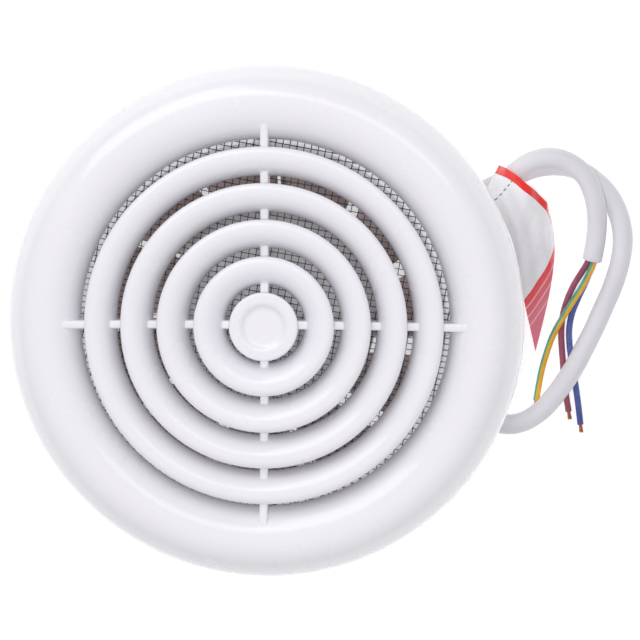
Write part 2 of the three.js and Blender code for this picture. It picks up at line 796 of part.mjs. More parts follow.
// Four numbered copies of one fastener, placed round a circle.
function addFour(name, geometry, material, radius, firstAngle) {
  fourAngles(firstAngle).forEach((angle, i) => {
    const x = radius * Math.cos(angle);
    const y = radius * Math.sin(angle);
    add(`${name}_${i + 1}`, geometry, material).position.set(x, y, 0);
  });
}

add("front_grille", frontGrille(), whitePlastic);
add("insect_screen", insectScreen(), wireMesh);
add("screen_retainer", screenRetainer(), whitePlastic);

add("duct_housing", ductHousing(), whitePlastic);
add("motor_bracket", motorBracket(), zincSteel);
addFour("bracket_screw", bracketScrew(), steel, BOSS_R, 0);

add("motor_rear_shield", motorRearShield(), zincSteel);
add("motor_front_shield", motorFrontShield(), zincSteel);
add("stator_stack", statorStack(), lamination);
add("stator_winding", statorWinding(), copper);
add("bearing_rear", bearing(MOTOR_REAR_Z + MOTOR_WALL + GAP), bronze);
add("bearing_front", bearing(MOTOR_FRONT_Z - MOTOR_WALL - GAP - BEARING_H), bronze);
addFour("motor_bolt", motorBolt(), steel, BOLT_CIRCLE_R, Math.PI / 4);
const boltNut = hexNut(MOTOR_NUT, BOLT_R + GAP, MOTOR_FRONT_Z + GAP, MOTOR_FRONT_Z + 2.8);
addFour("motor_nut", boltNut, steel, BOLT_CIRCLE_R, Math.PI / 4);

add("rotor_core", rotorCore(), lamination);
add("motor_shaft", motorShaft(), steel);
const washerBore = SHAFT_R + GAP;
add("thrust_washer", ring(washerBore, 8, ...THRUST_WASHER_Z, 16), fibre);
add("impeller", impeller(), greyPlastic);
const seatZ = HUB_FRONT_Z + 1.4 + GAP;
add("impeller_washer", ring(washerBore, 9, seatZ, seatZ + 1.2, 16), steel);
add("impeller_nut", hexNut(IMPELLER_NUT, washerBore, seatZ + 1.5, seatZ + 6), steel);

add("strain_relief", strainRelief(), rubber);
add("motor_grommet", motorGrommet(), rubber);
add("inner_cord", innerCord(), cordSheath);
add("cord_sheath", sheath(), cordSheath);
for (const [colour, route] of Object.entries(coreRoutes)) {
  add(`core_${colour}`, core(route), coreColours[colour]);
  add(`copper_end_${colour}`, copperEnd(route), copper);
}
add("cord_tag", cordTag(), printedFilm);

export default fan;
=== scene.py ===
import math

import bmesh
import bpy
import numpy as np
from mathutils import Matrix, Vector


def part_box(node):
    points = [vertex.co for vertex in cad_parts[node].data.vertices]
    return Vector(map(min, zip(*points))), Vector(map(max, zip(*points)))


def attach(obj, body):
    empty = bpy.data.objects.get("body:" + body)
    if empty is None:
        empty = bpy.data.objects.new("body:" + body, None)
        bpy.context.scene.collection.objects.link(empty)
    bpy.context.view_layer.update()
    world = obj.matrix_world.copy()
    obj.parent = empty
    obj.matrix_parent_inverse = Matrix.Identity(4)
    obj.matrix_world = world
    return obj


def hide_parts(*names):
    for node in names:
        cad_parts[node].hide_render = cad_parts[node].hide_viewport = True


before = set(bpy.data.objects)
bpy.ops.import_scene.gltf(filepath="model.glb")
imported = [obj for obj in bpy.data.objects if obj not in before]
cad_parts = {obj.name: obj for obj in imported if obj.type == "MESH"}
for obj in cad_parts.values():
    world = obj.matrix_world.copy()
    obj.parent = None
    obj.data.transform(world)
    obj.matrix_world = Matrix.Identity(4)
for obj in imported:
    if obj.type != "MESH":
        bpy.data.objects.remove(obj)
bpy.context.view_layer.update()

MM = 0.001
TAU = 2 * math.pi
TINY = 1e-6


def node_box(node):
    """Lowest and highest corner of a CAD node, in millimetres."""
    low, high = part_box(node)
    return np.array(low) / MM, np.array(high) / MM


def placed(name, data):
    """A new object in the scene."""
    made = bpy.data.objects.new(name, data)
    bpy.context.scene.collection.objects.link(made)
    return made


# ---- sizes
CREST_Z = node_box("front_grille")[1][2]
DUCT_TOP_Z = node_box("duct_housing")[1][2]
FLANGE_R = node_box("duct_housing")[1][0]
MOTOR_R = node_box("motor_rear_shield")[1][0]
MOTOR_REAR_Z = node_box("motor_rear_shield")[0][2]
MOTOR_FRONT_Z = node_box("motor_front_shield")[1][2]
STACK_LOW_Z, STACK_TOP_Z = [corner[2] for corner in node_box("stator_stack")]
BRACKET_LOW_Z, BRACKET_TOP_Z = [corner[2] for corner in node_box("motor_bracket")]

GAP = 0.3  # clearance between neighbouring solids
CREST_R = 77.0
THROAT_R = 64.0
THROAT_Z = 83.3
RIM_Z = 78.3
SHELL = 2.2
LIP_Z = 95.0
RING_OUTER_R = (62.0, 49.5, 37.0, 24.3)
RING_DEPTH = 11.0
RING_SPREAD = 10.6
RING_WALL = 2.0
LIP_WIDTH = 2.5
HUB_CAP_R = 11.9
HUB_DISH_R = 7.2
HUB_CAP_DEPTH = 9.0
SPOKE_W = 3.0
SPOKE_TOP = ((12.0, 89.2), (27.4, 89.3), (40.3, 90.2), (53.4, 91.2), (69.7, 93.4))
SKIRT_R = 67.1
SKIRT_WALL = 1.5
CLIP_HALF_W = 5.0
CLIP_END_Z = 72.0
WIRE_R = 0.165  # also the depth of the wires' crimp
MESH_PITCHES = (2.08, 2.48)
MESH_TURN = math.radians(-10)
DUCT_R = 61.5
DUCT_WALL = 2.0
FLANGE_T = 2.5
FIXING_R = 76.0  # radius of the ceiling screw holes
FIXING_HOLE_R = 2.3
WALL_HOLE_R = 6.3  # the cord's way through the duct wall
BOSS_R = 55.5
BOSS_HALF_W = 5.5
BOSS_TOP_Z = 33.0
PILOT_R = 1.6
ARM_HALF_W = 5.0
SCREW_HOLE_R = 1.8
BOLT_CIRCLE_R = 26.6
MOTOR_WALL = 1.5
MOTOR_HOLE_R = 5.4  # the cord's way into the motor
ROTOR_BORE_R = 13.5
SLOT_R = (16.5, 24.5)
SLOT_HALF_ANGLE = math.radians(26)
SLOT_MOUTH_HALF_W = 1.2
HUB_R = 38.0
HUB_SKIRT_Z = 44.3
SHAFT_BORE_R = 4.3
NUT_BORE_R = 4.35
BLADE_COUNT = 11
BLADE_TIP_R = 57.5
BLADE_MID_Z = 56.0
BLADE_COVER = 0.84  # share of the circle that the blades cover
BLADE_ROOT_RISE = 9.0
BLADE_TAPER = 1.6
BLADE_SWEEP = 0.1
BLADE_CAMBER = 1.8
CORD_D = 7.5
CORE_D = 2.4
CORD_TWIST = 52.0  # length of one turn of the cores in the sheath
FILM_T = 0.16
EXIT_ANGLE = math.radians(28)
EXIT_Z = 13.0
EXIT_TILT = math.radians(18)
RELIEF_LENGTH = 20.0
MOTOR_ENTRY_Z = 22.9
QUARTERS = [i * TAU / 4 for i in range(4)]
DIAGONALS = [TAU / 8 + i * TAU / 4 for i in range(4)]


# ---- camera
CAMERA_AT = Vector((58.6, 120.9, 1074.7)) * MM
CAMERA_AIM = Vector((19.5, 2.7, 95.0)) * MM
CAMERA_ROLL = math.radians(0.22)
LENS = 162.0
SENSOR = 36.0


def make_camera():
    data = bpy.data.cameras.new("camera")
    data.lens = LENS
    data.sensor_width = SENSOR
    data.clip_start = 0.05
    data.clip_end = 50
    camera = placed("camera", data)
    back = (CAMERA_AT - CAMERA_AIM).normalized()
    up = Vector((-math.sin(CAMERA_ROLL), math.cos(CAMERA_ROLL), 0))
    right = up.cross(back).normalized()
    up = back.cross(right)
    turn = Matrix((right, up, back)).transposed().to_4x4()
    camera.matrix_world = Matrix.Translation(CAMERA_AT) @ turn
    bpy.context.scene.camera = camera


make_camera()


# ---- mesh helpers
# A solid here is (points as an N x 3 array in millimetres, faces as index lists).
def merged(*solids):
    points, faces, start = [], [], 0
    for p, f in solids:
        points.append(np.asarray(p, float))
        faces += [[i + start for i in face] for face in f]
        start += len(p)
    return np.vstack(points), faces


def spun(solid, angle):
    """Turns a solid about Z."""
    c, s = math.cos(angle), math.sin(angle)
    spin = np.array([[c, s, 0], [-s, c, 0], [0, 0, 1]])
    return solid[0] @ spin, solid[1]


def around(solid, angles, x=0.0):
    """Copies of a solid, moved out along X and then turned to each angle."""
    points = solid[0] + np.array([x, 0.0, 0.0])
    return [spun((points, solid[1]), angle) for angle in angles]


def laid_radially(solid, height, tilt=0.0, start=0.0):
    """Turns a solid made along +Z to lie on the cord's radial line, pointing outwards."""
    x, y, z = solid[0].T
    c, s = math.cos(tilt), math.sin(tilt)
    points = np.column_stack([z * c - x * s + start, y, -x * c - z * s + height])
    return spun((points, solid[1]), EXIT_ANGLE)


def quarter_ellipse(r, z, half_width, half_height, sign, count):
    """Points from straight above the centre down to level with it, moving by sign."""
    angles = np.linspace(0, math.pi / 2, count + 1)
    return [(r + sign * half_width * math.sin(a), z + half_height * math.cos(a)) for a in angles]


def filleted(corners, steps):
    """Outline from (r, z) or (r, z, fillet) corners, with those corners rounded."""
    points = []
    count = len(corners)
    for i, corner in enumerate(corners):
        here = np.array(corner[:2], float)
        radius = corner[2] if len(corner) > 2 else 0.0
        before = np.array(corners[i - 1][:2], float) - here
        after = np.array(corners[(i + 1) % count][:2], float) - here
        lengths = np.linalg.norm(before), np.linalg.norm(after)
        if radius <= 0 or min(lengths) < TINY:
            points.append(tuple(here))
            continue
        reach = min(radius, 0.49 * lengths[0], 0.49 * lengths[1])
        start = here + before / lengths[0] * reach
        end = here + after / lengths[1] * reach
        for t in np.linspace(0, 1, steps + 1):
            points.append(tuple((1 - t) ** 2 * start + 2 * t * (1 - t) * here + t * t * end))
    return points


def rounded_box(x0, y0, x1, y1, radius, steps):
    """Rectangular outline with rounded corners."""
    return filleted([(x0, y0, radius), (x1, y0, radius), (x1, y1, radius), (x0, y1, radius)], steps)


def lathe(outline, segments):
    """Solid of revolution about Z. The outline closes on itself, or starts and ends on the axis."""
    open_ended = max(abs(outline[0][0]), abs(outline[-1][0])) < TINY
    points, rows = [], []
    for r, z in outline:
        if abs(r) < TINY:
            rows.append([len(points)] * segments)
            points.append((0, 0, z))
            continue
        rows.append(list(range(len(points), len(points) + segments)))
        for k in range(segments):
            a = TAU * k / segments
            points.append((r * math.cos(a), r * math.sin(a), z))
    faces = []
    pairs = len(rows) - 1 if open_ended else len(rows)
    for i in range(pairs):
        low, high = rows[i], rows[(i + 1) % len(rows)]
        for k in range(segments):
            n = (k + 1) % segments
            face = [low[k], low[n], high[n], high[k]]
            face = [v for j, v in enumerate(face) if v != face[j - 1]]
            if len(face) > 2:
                faces.append(face)
    return np.array(points, float), faces


def cylinder(radius, z0, z1, sides=32):
    return lathe([(0, z0), (radius, z0), (radius, z1), (0, z1)], sides)


def turned(corners, steps, segments):
    """Solid of revolution whose outline has rounded corners."""
    return lathe(filleted(corners, steps), segments)


def eased_block(low, high, edge=0.4):
    """Box along Z whose plan has rounded corners and whose top and bottom edges are eased."""
    (x0, y0, z0), (x1, y1, z1) = low, high
    arc = [(edge * (1 - math.sin(a)), edge * (1 - math.cos(a))) for a in (0, TAU / 8, TAU / 4)]
    levels = [(inset, z0 + rise) for inset, rise in arc]
    levels += [(inset, z1 - drop) for drop, inset in arc]
    loops = []
    for inset, z in levels:
        plan = rounded_box(x0 + inset, y0 + inset, x1 - inset, y1 - inset, edge * 1.5, 3)
        loops.append([(x, y, z) for x, y in plan])
    return skinned(loops)


def skinned(loops):
    """Solid through loops of the same count of points, capped at both ends."""
    width = len(loops[0])
    points = np.array([p for loop in loops for p in loop], float)
    faces = []
    for i in range(len(loops) - 1):
        low, high = i * width, (i + 1) * width
        for k in range(width):
            n = (k + 1) % width
            faces.append([low + k, low + n, high + n, high + k])
    faces.append(list(range(width))[::-1])
    faces.append([(len(loops) - 1) * width + k for k in range(width)])
    return points, faces


def prism(outline, z0, z1):
    return skinned([[(x, y, z) for x, y in outline] for z in (z0, z1)])


def distances(path):
    """How far along a path each of its points lies."""
    return np.concatenate([[0], np.cumsum(np.linalg.norm(np.diff(path, axis=0), axis=1))])


def slope(p, steps):
    """Speed of a curve at the middle one of three points, given the time between them."""
    u, v = steps
    return (p[1] - p[0]) / u - (p[2] - p[0]) / (u + v) + (p[2] - p[1]) / v


def smooth_route(controls, spacing):
    """Even points on the centripetal Catmull-Rom curve through the control points."""
    c = np.array(controls, float)
    c = np.vstack([2 * c[0] - c[1], c, 2 * c[-1] - c[-2]])
    fine = []
    for i in range(1, len(c) - 2):
        p = c[i - 1:i + 3]
        steps = [max(np.linalg.norm(p[k + 1] - p[k]) ** 0.5, 1e-4) for k in range(3)]
        start_slope = slope(p[:3], steps[:2]) * steps[1]
        end_slope = slope(p[1:], steps[1:]) * steps[1]
        for t in np.linspace(0, 1, 24, endpoint=False):
            h = t * t * t
            q = t * t
            fine.append((2 * h - 3 * q + 1) * p[1] + (h - 2 * q + t) * start_slope
                        + (-2 * h + 3 * q) * p[2] + (h - q) * end_slope)
    fine.append(c[-2])
    fine = np.array(fine)
    along = distances(fine)
    count = max(2, int(round(along[-1] / spacing)) + 1)
    even = np.linspace(0, along[-1], count)
    return np.column_stack([np.interp(even, along, fine[:, k]) for k in range(3)])


def route_length(path):
    return float(np.linalg.norm(np.diff(path, axis=0), axis=1).sum())


def route_frames(path):
    """A side vector and an upper vector at each point, carried along without twisting."""
    tangents = np.gradient(path, axis=0)
    tangents /= np.linalg.norm(tangents, axis=1)[:, None]
    side = np.cross(tangents[0], [0, 0, 1.0])
    sides, ups = [], []
    for t in tangents:
        side = side - t * (side @ t)
        side = side / np.linalg.norm(side)
        sides.append(side)
        ups.append(np.cross(side, t))
    return np.array(sides), np.array(ups)


def tube_loops(path, radius, sides):
    """Loops round a path. radius is a number or a function of (index, angle)."""
    side, up = route_frames(path)
    loops = []
    for i, p in enumerate(path):
        loop = []
        for k in range(sides):
            a = TAU * k / sides
            r = radius(i, a) if callable(radius) else radius
            loop.append(p + r * (math.cos(a) * side[i] + math.sin(a) * up[i]))
        loops.append(loop)
    return loops


def tube(path, radius, sides):
    return skinned(tube_loops(path, radius, sides))


def tube_uv(path, sides):
    """Per-face corner coordinates of a tube: share of the way round, and millimetres along."""
    along = distances(path)
    uvs = []
    for i in range(len(path) - 1):
        for k in range(sides):
            u0, u1 = k / sides, (k + 1) / sides
            uvs += [(u0, along[i]), (u1, along[i]), (u1, along[i + 1]), (u0, along[i + 1])]
    uvs += [(0, 0)] * sides + [(0, along[-1])] * sides
    return uvs


def new_object(name, solid, uvs=None):
    """Makes a solid into an object whose faces look outwards."""
    points, faces = solid
    mesh = bpy.data.meshes.new(name)
    mesh.from_pydata([tuple(p) for p in np.asarray(points) * MM], [], faces)
    if uvs is not None:
        layer = mesh.uv_layers.new(name="UVMap")
        layer.data.foreach_set("uv", np.array(uvs, np.float32).ravel())
    turned_out = bmesh.new()
    turned_out.from_mesh(mesh)
    bmesh.ops.recalc_face_normals(turned_out, faces=turned_out.faces)
    turned_out.to_mesh(mesh)
    turned_out.free()
    return placed(name, mesh)


def settled(made):
    """Keeps an object's modified shape as its mesh."""
    graph = bpy.context.evaluated_depsgraph_get()
    result = bpy.data.meshes.new_from_object(made.evaluated_get(graph))
    made.modifiers.clear()
    old, made.data = made.data, result
    bpy.data.meshes.remove(old)


def combine(made, tools, operation):
    """Joins solids to an object, or cuts them from it, one after another."""
    for solid in tools:
        tool = new_object("tool", solid)
        step = made.modifiers.new("step", "BOOLEAN")
        step.operation = operation
        step.solver = "EXACT"
        step.object = tool
        settled(made)
        bpy.data.objects.remove(tool)


def join(made, *solids):
    """Joins solids that keep clear of each other to an object, in one step."""
    combine(made, [merged(*solids)], "UNION")


def cut(made, *solids):
    """Cuts solids that keep clear of each other from an object, in one step."""
    combine(made, [merged(*solids)], "DIFFERENCE")


def bevelled(made, width):
    step = made.modifiers.new("edges", "BEVEL")
    step.width = width * MM
    step.segments = 2
    step.limit_method = "ANGLE"
    step.angle_limit = math.radians(40)
    step.harden_normals = False
    settled(made)


def piece(made, look, node, body="housing", sharp=32):
    """Finishes a piece: smooth shading, its look, its body, and the node it stands for."""
    slot, material = look
    mesh = made.data
    mesh.polygons.foreach_set("use_smooth", [True] * len(mesh.polygons))
    mesh.set_sharp_from_angle(angle=math.radians(sharp))
    mesh.materials.clear()
    mesh.materials.append(material)
    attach(made, body)
    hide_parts(node)
    return made


# ---- material helpers
def add_node(tree, kind, inputs):
    """Adds a shader node and fills its inputs with numbers or with other nodes' outputs."""
    node = tree.nodes.new("ShaderNode" + kind)
    for name, value in inputs.items():
        fill(tree, node.inputs[name], value)
    return node


def fill(tree, socket, value):
    if isinstance(value, bpy.types.NodeSocket):
        tree.links.new(value, socket)
    else:
        socket.default_value = value


EVEN = (1, 1, 1)


class Surface:
    """A Principled material that is built up from procedural layers in object coordinates."""

    def __init__(self, name, colour, roughness, metallic=0.0, coat=0.0, subsurface=0.0):
        self.material = bpy.data.materials.new(name)
        self.material.use_nodes = True
        self.tree = self.material.node_tree
        self.shader = self.tree.nodes["Principled BSDF"]
        self.set("Base Color", (*colour, 1))
        self.set("Roughness", roughness)
        self.set("Metallic", metallic)
        self.set("Coat Weight", coat)
        self.set("Coat Roughness", 0.05)
        self.set("Subsurface Weight", subsurface)
        self.set("Subsurface Scale", 0.002)
        self.set("Subsurface Radius", (1.0, 0.9, 0.85))
        self.set("IOR", 1.5)
        self.place = add_node(self.tree, "TexCoord", {}).outputs["Object"]
        self.normal = None

    def set(self, socket, value):
        fill(self.tree, self.shader.inputs[socket], value)

    def noise(self, scale, detail, stretch=EVEN):
        mapping = add_node(self.tree, "Mapping", {"Vector": self.place, "Scale": stretch})
        inputs = {"Vector": mapping.outputs["Vector"], "Scale": scale, "Detail": detail}
        return add_node(self.tree, "TexNoise", inputs).outputs["Fac"]

    def ranged(self, value, low, high, start=0.3, end=0.7):
        inputs = {"Value": value, "From Min": start, "From Max": end, "To Min": low, "To Max": high}
        return add_node(self.tree, "MapRange", inputs).outputs["Result"]

    def mixed(self, factor, first, second):
        node = add_node(self.tree, "Mix", {})
        node.data_type = "RGBA"
        fill(self.tree, node.inputs["Factor"], factor)
        for name, value in (("A", first), ("B", second)):
            socket = [s for s in node.inputs if s.name == name and s.type == "RGBA"][0]
            fill(self.tree, socket, (*value, 1) if isinstance(value, tuple) else value)
        return [s for s in node.outputs if s.type == "RGBA"][0]

    def math(self, operation, first, second=0.0):
        node = add_node(self.tree, "Math", {})
        node.operation = operation
        fill(self.tree, node.inputs[0], first)
        fill(self.tree, node.inputs[1], second)
        return node.outputs["Value"]

    def uv(self):
        """The mesh's own two coordinates."""
        layer = add_node(self.tree, "UVMap", {})
        layer.uv_map = "UVMap"
        split = add_node(self.tree, "SeparateXYZ", {"Vector": layer.outputs["UV"]})
        return split.outputs["X"], split.outputs["Y"]

    def shades(self, scale, detail, dark, light, stretch=EVEN, start=0.3, end=0.7):
        """A colour that drifts between two shades."""
        share = self.ranged(self.noise(scale, detail, stretch), 0, 1, start, end)
        return self.mixed(share, dark, light)

    def tint(self, *drift, **more):
        self.set("Base Color", self.shades(*drift, **more))

    def gloss(self, scale, detail, low, high, stretch=EVEN):
        self.set("Roughness", self.ranged(self.noise(scale, detail, stretch), low, high))

    def grain(self, scale, detail, depth_mm, strength, stretch=EVEN):
        """Adds a bump of noise to the bumps laid before it."""
        height = self.noise(scale, detail, stretch)
        inputs = {"Height": height, "Strength": strength, "Distance": depth_mm * MM}
        if self.normal is not None:
            inputs["Normal"] = self.normal
        self.normal = add_node(self.tree, "Bump", inputs).outputs["Normal"]
        self.set("Normal", self.normal)


# ---- materials
def moulded_white():
    """Glossy white ABS: faint flow marks, slight gloss variation and a soft moulded skin."""
    s = Surface("moulded_white", (0.92, 0.903, 0.957), 0.22, coat=0.8)
    s.tint(14, 2, (0.905, 0.887, 0.943), (0.93, 0.914, 0.966), (1, 1, 2.5))
    s.gloss(60, 4, 0.2, 0.3)
    s.grain(220, 2, 0.012, 0.35)
    s.grain(2600, 2, 0.004, 0.3)
    return s.material


def housing_white():
    """Plain white ABS of the hidden housing: satin, with fine texture and faint scuffs."""
    s = Surface("housing_white", (0.94, 0.93, 0.955), 0.42)
    s.tint(22, 3, (0.925, 0.915, 0.94), (0.955, 0.945, 0.965))
    s.gloss(90, 5, 0.34, 0.52, (1, 1, 0.15))
    s.grain(3200, 3, 0.01, 0.4)
    return s.material


def screen_wire():
    """Dark coated wire with slightly worn, shinier high spots."""
    s = Surface("screen_wire", (0.045, 0.045, 0.055), 0.45, metallic=0.5)
    s.tint(900, 3, (0.04, 0.04, 0.05), (0.11, 0.11, 0.125), start=0.45, end=0.75)
    s.gloss(1500, 2, 0.35, 0.6)
    return s.material


def impeller_plastic():
    """Light grey hub and darker brown-grey blades, with flow streaks. The blades are the hub's
    plastic; their darker colour is painted shade.
    """
    s = Surface("impeller_plastic", (0.4, 0.36, 0.35), 0.38)
    flat = add_node(s.tree, "VectorMath", {})
    flat.operation = "MULTIPLY"
    fill(s.tree, flat.inputs[0], s.place)
    fill(s.tree, flat.inputs[1], (1, 1, 0))
    reach = add_node(s.tree, "VectorMath", {})
    reach.operation = "LENGTH"
    fill(s.tree, reach.inputs[0], flat.outputs["Vector"])
    on_blade = s.ranged(reach.outputs["Value"], 0, 1, (HUB_R + 0.1) * MM, (HUB_R + 0.6) * MM)
    hub = s.shades(40, 4, (0.78, 0.76, 0.77), (0.86, 0.84, 0.85), (1, 1, 3))
    # painted shade: the blades get a darker brown-grey than the hub, though both are one plastic
    blade = s.shades(40, 4, (0.58, 0.44, 0.42), (0.68, 0.54, 0.51), (1, 1, 3))
    s.set("Base Color", s.mixed(on_blade, hub, blade))
    s.gloss(160, 4, 0.3, 0.5)
    s.grain(1800, 3, 0.012, 0.4)
    return s.material


def zinc_plate():
    """Zinc-plated pressing: soft spangle, fine rolling lines and a slight blue cast."""
    s = Surface("zinc_plate", (0.62, 0.64, 0.66), 0.34, metallic=1.0)
    cells = add_node(s.tree, "TexVoronoi", {"Vector": s.place, "Scale": 260})
    spangle = s.ranged(cells.outputs["Distance"], 0, 1, 0, 0.8)
    s.set("Base Color", s.mixed(spangle, (0.56, 0.58, 0.61), (0.7, 0.71, 0.72)))
    s.gloss(120, 5, 0.25, 0.45)
    s.grain(900, 4, 0.01, 0.5, (0.1, 1, 1))
    return s.material


def bright_steel():
    """Turned and plated steel of shafts and fasteners, with fine tool marks."""
    s = Surface("bright_steel", (0.6, 0.61, 0.63), 0.26, metallic=1.0)
    s.tint(300, 4, (0.52, 0.53, 0.55), (0.68, 0.69, 0.7))
    s.gloss(700, 4, 0.18, 0.38, (1, 1, 0.2))
    s.grain(2400, 2, 0.006, 0.5, (0.05, 0.05, 1))
    return s.material


def lamination_steel():
    """Blued sheet steel with rust freckles and the lines of the stacked sheets."""
    s = Surface("lamination_steel", (0.17, 0.18, 0.2), 0.5, metallic=0.8)
    s.tint(180, 6, (0.15, 0.16, 0.185), (0.23, 0.14, 0.09), start=0.56, end=0.74)
    s.gloss(240, 4, 0.4, 0.65)
    s.grain(1400, 3, 0.03, 0.6, (0.1, 0.1, 1))
    return s.material


def wound_copper():
    """Enamelled wire laid side by side, under varnish."""
    s = Surface("wound_copper", (0.6, 0.24, 0.1), 0.3, metallic=0.85, coat=0.4)
    s.tint(420, 2, (0.45, 0.16, 0.06), (0.7, 0.32, 0.15), (0.15, 0.15, 4))
    s.grain(420, 2, 0.15, 0.8, (0.15, 0.15, 4))
    return s.material


def bronze():
    """Porous sintered bronze, dark with oil."""
    s = Surface("bronze", (0.5, 0.33, 0.14), 0.42, metallic=1.0)
    s.tint(1100, 4, (0.36, 0.23, 0.1), (0.58, 0.4, 0.18))
    s.grain(1100, 4, 0.02, 0.6)
    return s.material


def fibre():
    """Pressed fibre washer, speckled."""
    s = Surface("fibre", (0.58, 0.46, 0.3), 0.8)
    s.tint(500, 6, (0.48, 0.36, 0.22), (0.66, 0.55, 0.38))
    s.grain(1500, 4, 0.02, 0.6)
    return s.material


def grey_rubber():
    """Matt moulded rubber with bloom."""
    s = Surface("grey_rubber", (0.6, 0.6, 0.63), 0.62)
    s.tint(70, 5, (0.56, 0.56, 0.6), (0.66, 0.66, 0.69))
    s.gloss(200, 3, 0.52, 0.72)
    s.grain(2200, 3, 0.012, 0.5)
    return s.material


def cord_pvc():
    """Flexible grey-white PVC: satin, with soft unevenness and handling marks."""
    s = Surface("cord_pvc", (0.75, 0.74, 0.785), 0.36, subsurface=0.1)
    s.tint(26, 4, (0.72, 0.705, 0.755), (0.79, 0.775, 0.82))
    s.gloss(140, 4, 0.3, 0.46)
    s.grain(420, 3, 0.02, 0.35)
    s.grain(2600, 2, 0.006, 0.4)
    return s.material


def core_surface(name, colour):
    """Semi-gloss insulation of a core, before its colour drift."""
    s = Surface(name, colour, 0.34, coat=0.15)
    s.gloss(500, 3, 0.26, 0.44)
    s.grain(1800, 3, 0.012, 0.4)
    return s


def core_pvc(name, dark, light):
    s = core_surface(name, light)
    s.tint(160, 4, dark, light)
    return s.material


def earth_pvc():
    """Two-colour earth core: yellow over one half of its girth and green over the other."""
    s = core_surface("core_earth", (0.78, 0.42, 0.05))
    round_it, along = s.uv()
    wander = s.math("MULTIPLY", along, 0.001)
    turn = s.math("FRACT", s.math("ADD", round_it, s.math("ADD", wander, 0.76)))
    green = s.ranged(turn, 0, 1, 0.535, 0.55)
    yellow = s.shades(180, 4, (0.76, 0.34, 0.012), (0.88, 0.46, 0.025))
    leaf = s.shades(180, 4, (0.045, 0.29, 0.18), (0.09, 0.4, 0.26))
    s.set("Base Color", s.mixed(green, yellow, leaf))
    return s.material


def bare_copper():
    """Fresh-cut copper strands with slight tarnish."""
    s = Surface("bare_copper", (0.8, 0.33, 0.17), 0.25, metallic=1.0)
    s.tint(900, 3, (0.66, 0.24, 0.11), (0.88, 0.42, 0.24))
    s.gloss(1500, 2, 0.18, 0.36)
    return s.material


def printed_film():
    """Glossy white film: red band at the mouth, a dashed line, and a pink panel with plain bars."""
    s = Surface("printed_film", (0.93, 0.91, 0.95), 0.22, coat=0.5)
    across, along = s.uv()
    white = s.shades(60, 3, (0.9, 0.88, 0.93), (0.96, 0.95, 0.97))
    red = s.shades(120, 3, (0.84, 0.012, 0.01), (0.93, 0.03, 0.022))
    slope = s.math("ADD", across, s.math("MULTIPLY", along, 0.0105))
    on_panel = s.ranged(slope, 0, 1, 1.1, 1.105)
    pink = s.mixed(s.ranged(slope, 0, 1, 1.1, 1.3), (0.88, 0.05, 0.055), (0.87, 0.2, 0.27))
    bar = s.math("PINGPONG", s.math("MULTIPLY", slope, 14), 0.5)
    bar = s.ranged(bar, 0, 0.55, 0.4, 0.42)
    printed = s.math("MULTIPLY", bar, s.ranged(slope, 0, 1, 1.14, 1.15))
    printed = s.math("MULTIPLY", printed, s.ranged(slope, 1, 0, 1.36, 1.37))
    panel = s.mixed(printed, pink, (0.92, 0.8, 0.84))
    on_band = s.ranged(along, 1, 0, 3.3, 3.4)
    slant = s.math("ADD", across, s.math("MULTIPLY", along, 0.014))
    near_line = s.math("ABSOLUTE", s.math("SUBTRACT", slant, 0.282))
    dash = s.math("PINGPONG", s.math("MULTIPLY", along, 0.45), 0.5)
    on_line = s.ranged(near_line, 1, 0, 0.006, 0.008)
    dashed = s.math("MULTIPLY", on_line, s.ranged(dash, 0, 1, 0.2, 0.24))
    ground = s.mixed(dashed, white, (0.16, 0.3, 0.42))
    s.set("Base Color", s.mixed(on_band, s.mixed(on_panel, ground, panel), red))
    s.gloss(200, 3, 0.14, 0.3)
    s.grain(160, 3, 0.06, 0.4)
    return s.material


def floor_white():
    """Bright white lightbox floor."""
    s = Surface("floor_white", (0.9, 0.9, 0.9), 0.7)
    s.tint(3, 2, (0.89, 0.89, 0.895), (0.91, 0.91, 0.91))
    s.set("Emission Color", (1, 1, 1, 1))
    s.set("Emission Strength", 0.42)
    return s.material


# Slot and material of each look.
WHITE = "white_abs", moulded_white()
HOUSING = "white_abs", housing_white()
WIRE = "screen_wire", screen_wire()
IMPELLER = "impeller_plastic", impeller_plastic()
ZINC = "zinc_plated_steel", zinc_plate()
STEEL = "bright_steel", bright_steel()
LAMINATION = "lamination_steel", lamination_steel()
WINDING = wound_copper()
BRONZE = bronze()
FIBRE = fibre()
RUBBER = "grey_rubber", grey_rubber()
CORD = "cord_pvc", cord_pvc()
COPPER = "bare_copper", bare_copper()
CORES = {
    "brown": ("core_brown_pvc", core_pvc("core_brown", (0.22, 0.04, 0.07), (0.31, 0.07, 0.12))),
    "blue": ("core_blue_pvc", core_pvc("core_blue", (0.045, 0.065, 0.25), (0.075, 0.11, 0.34))),
    "earth": ("core_earth_pvc", earth_pvc()),
}
FILM = "printed_film", printed_film()


# ---- front cover
def bezel():
    half = CREST_R - THROAT_R
    rise = CREST_Z - THROAT_Z
    fall = CREST_Z - RIM_Z
    inside = half - SHELL
    throat = quarter_ellipse(CREST_R, THROAT_Z, half, rise, -1, 22)[::-1]
    outer = quarter_ellipse(CREST_R, RIM_Z, half, fall, 1, 26)[1:]
    back_outer = quarter_ellipse(CREST_R, RIM_Z, inside, fall - SHELL, 1, 16)[::-1]
    back_throat = quarter_ellipse(CREST_R, THROAT_Z, inside, rise - SHELL, -1, 14)[1:]
    outline = [*throat, *outer, *back_outer, *back_throat]
    rim = len(throat) + len(outer)
    eased = (0, rim - 1, rim, len(outline) - 1)
    corners = [(*p, 0.7) if i in eased else p for i, p in enumerate(outline)]
    return turned(corners, 3, 288)


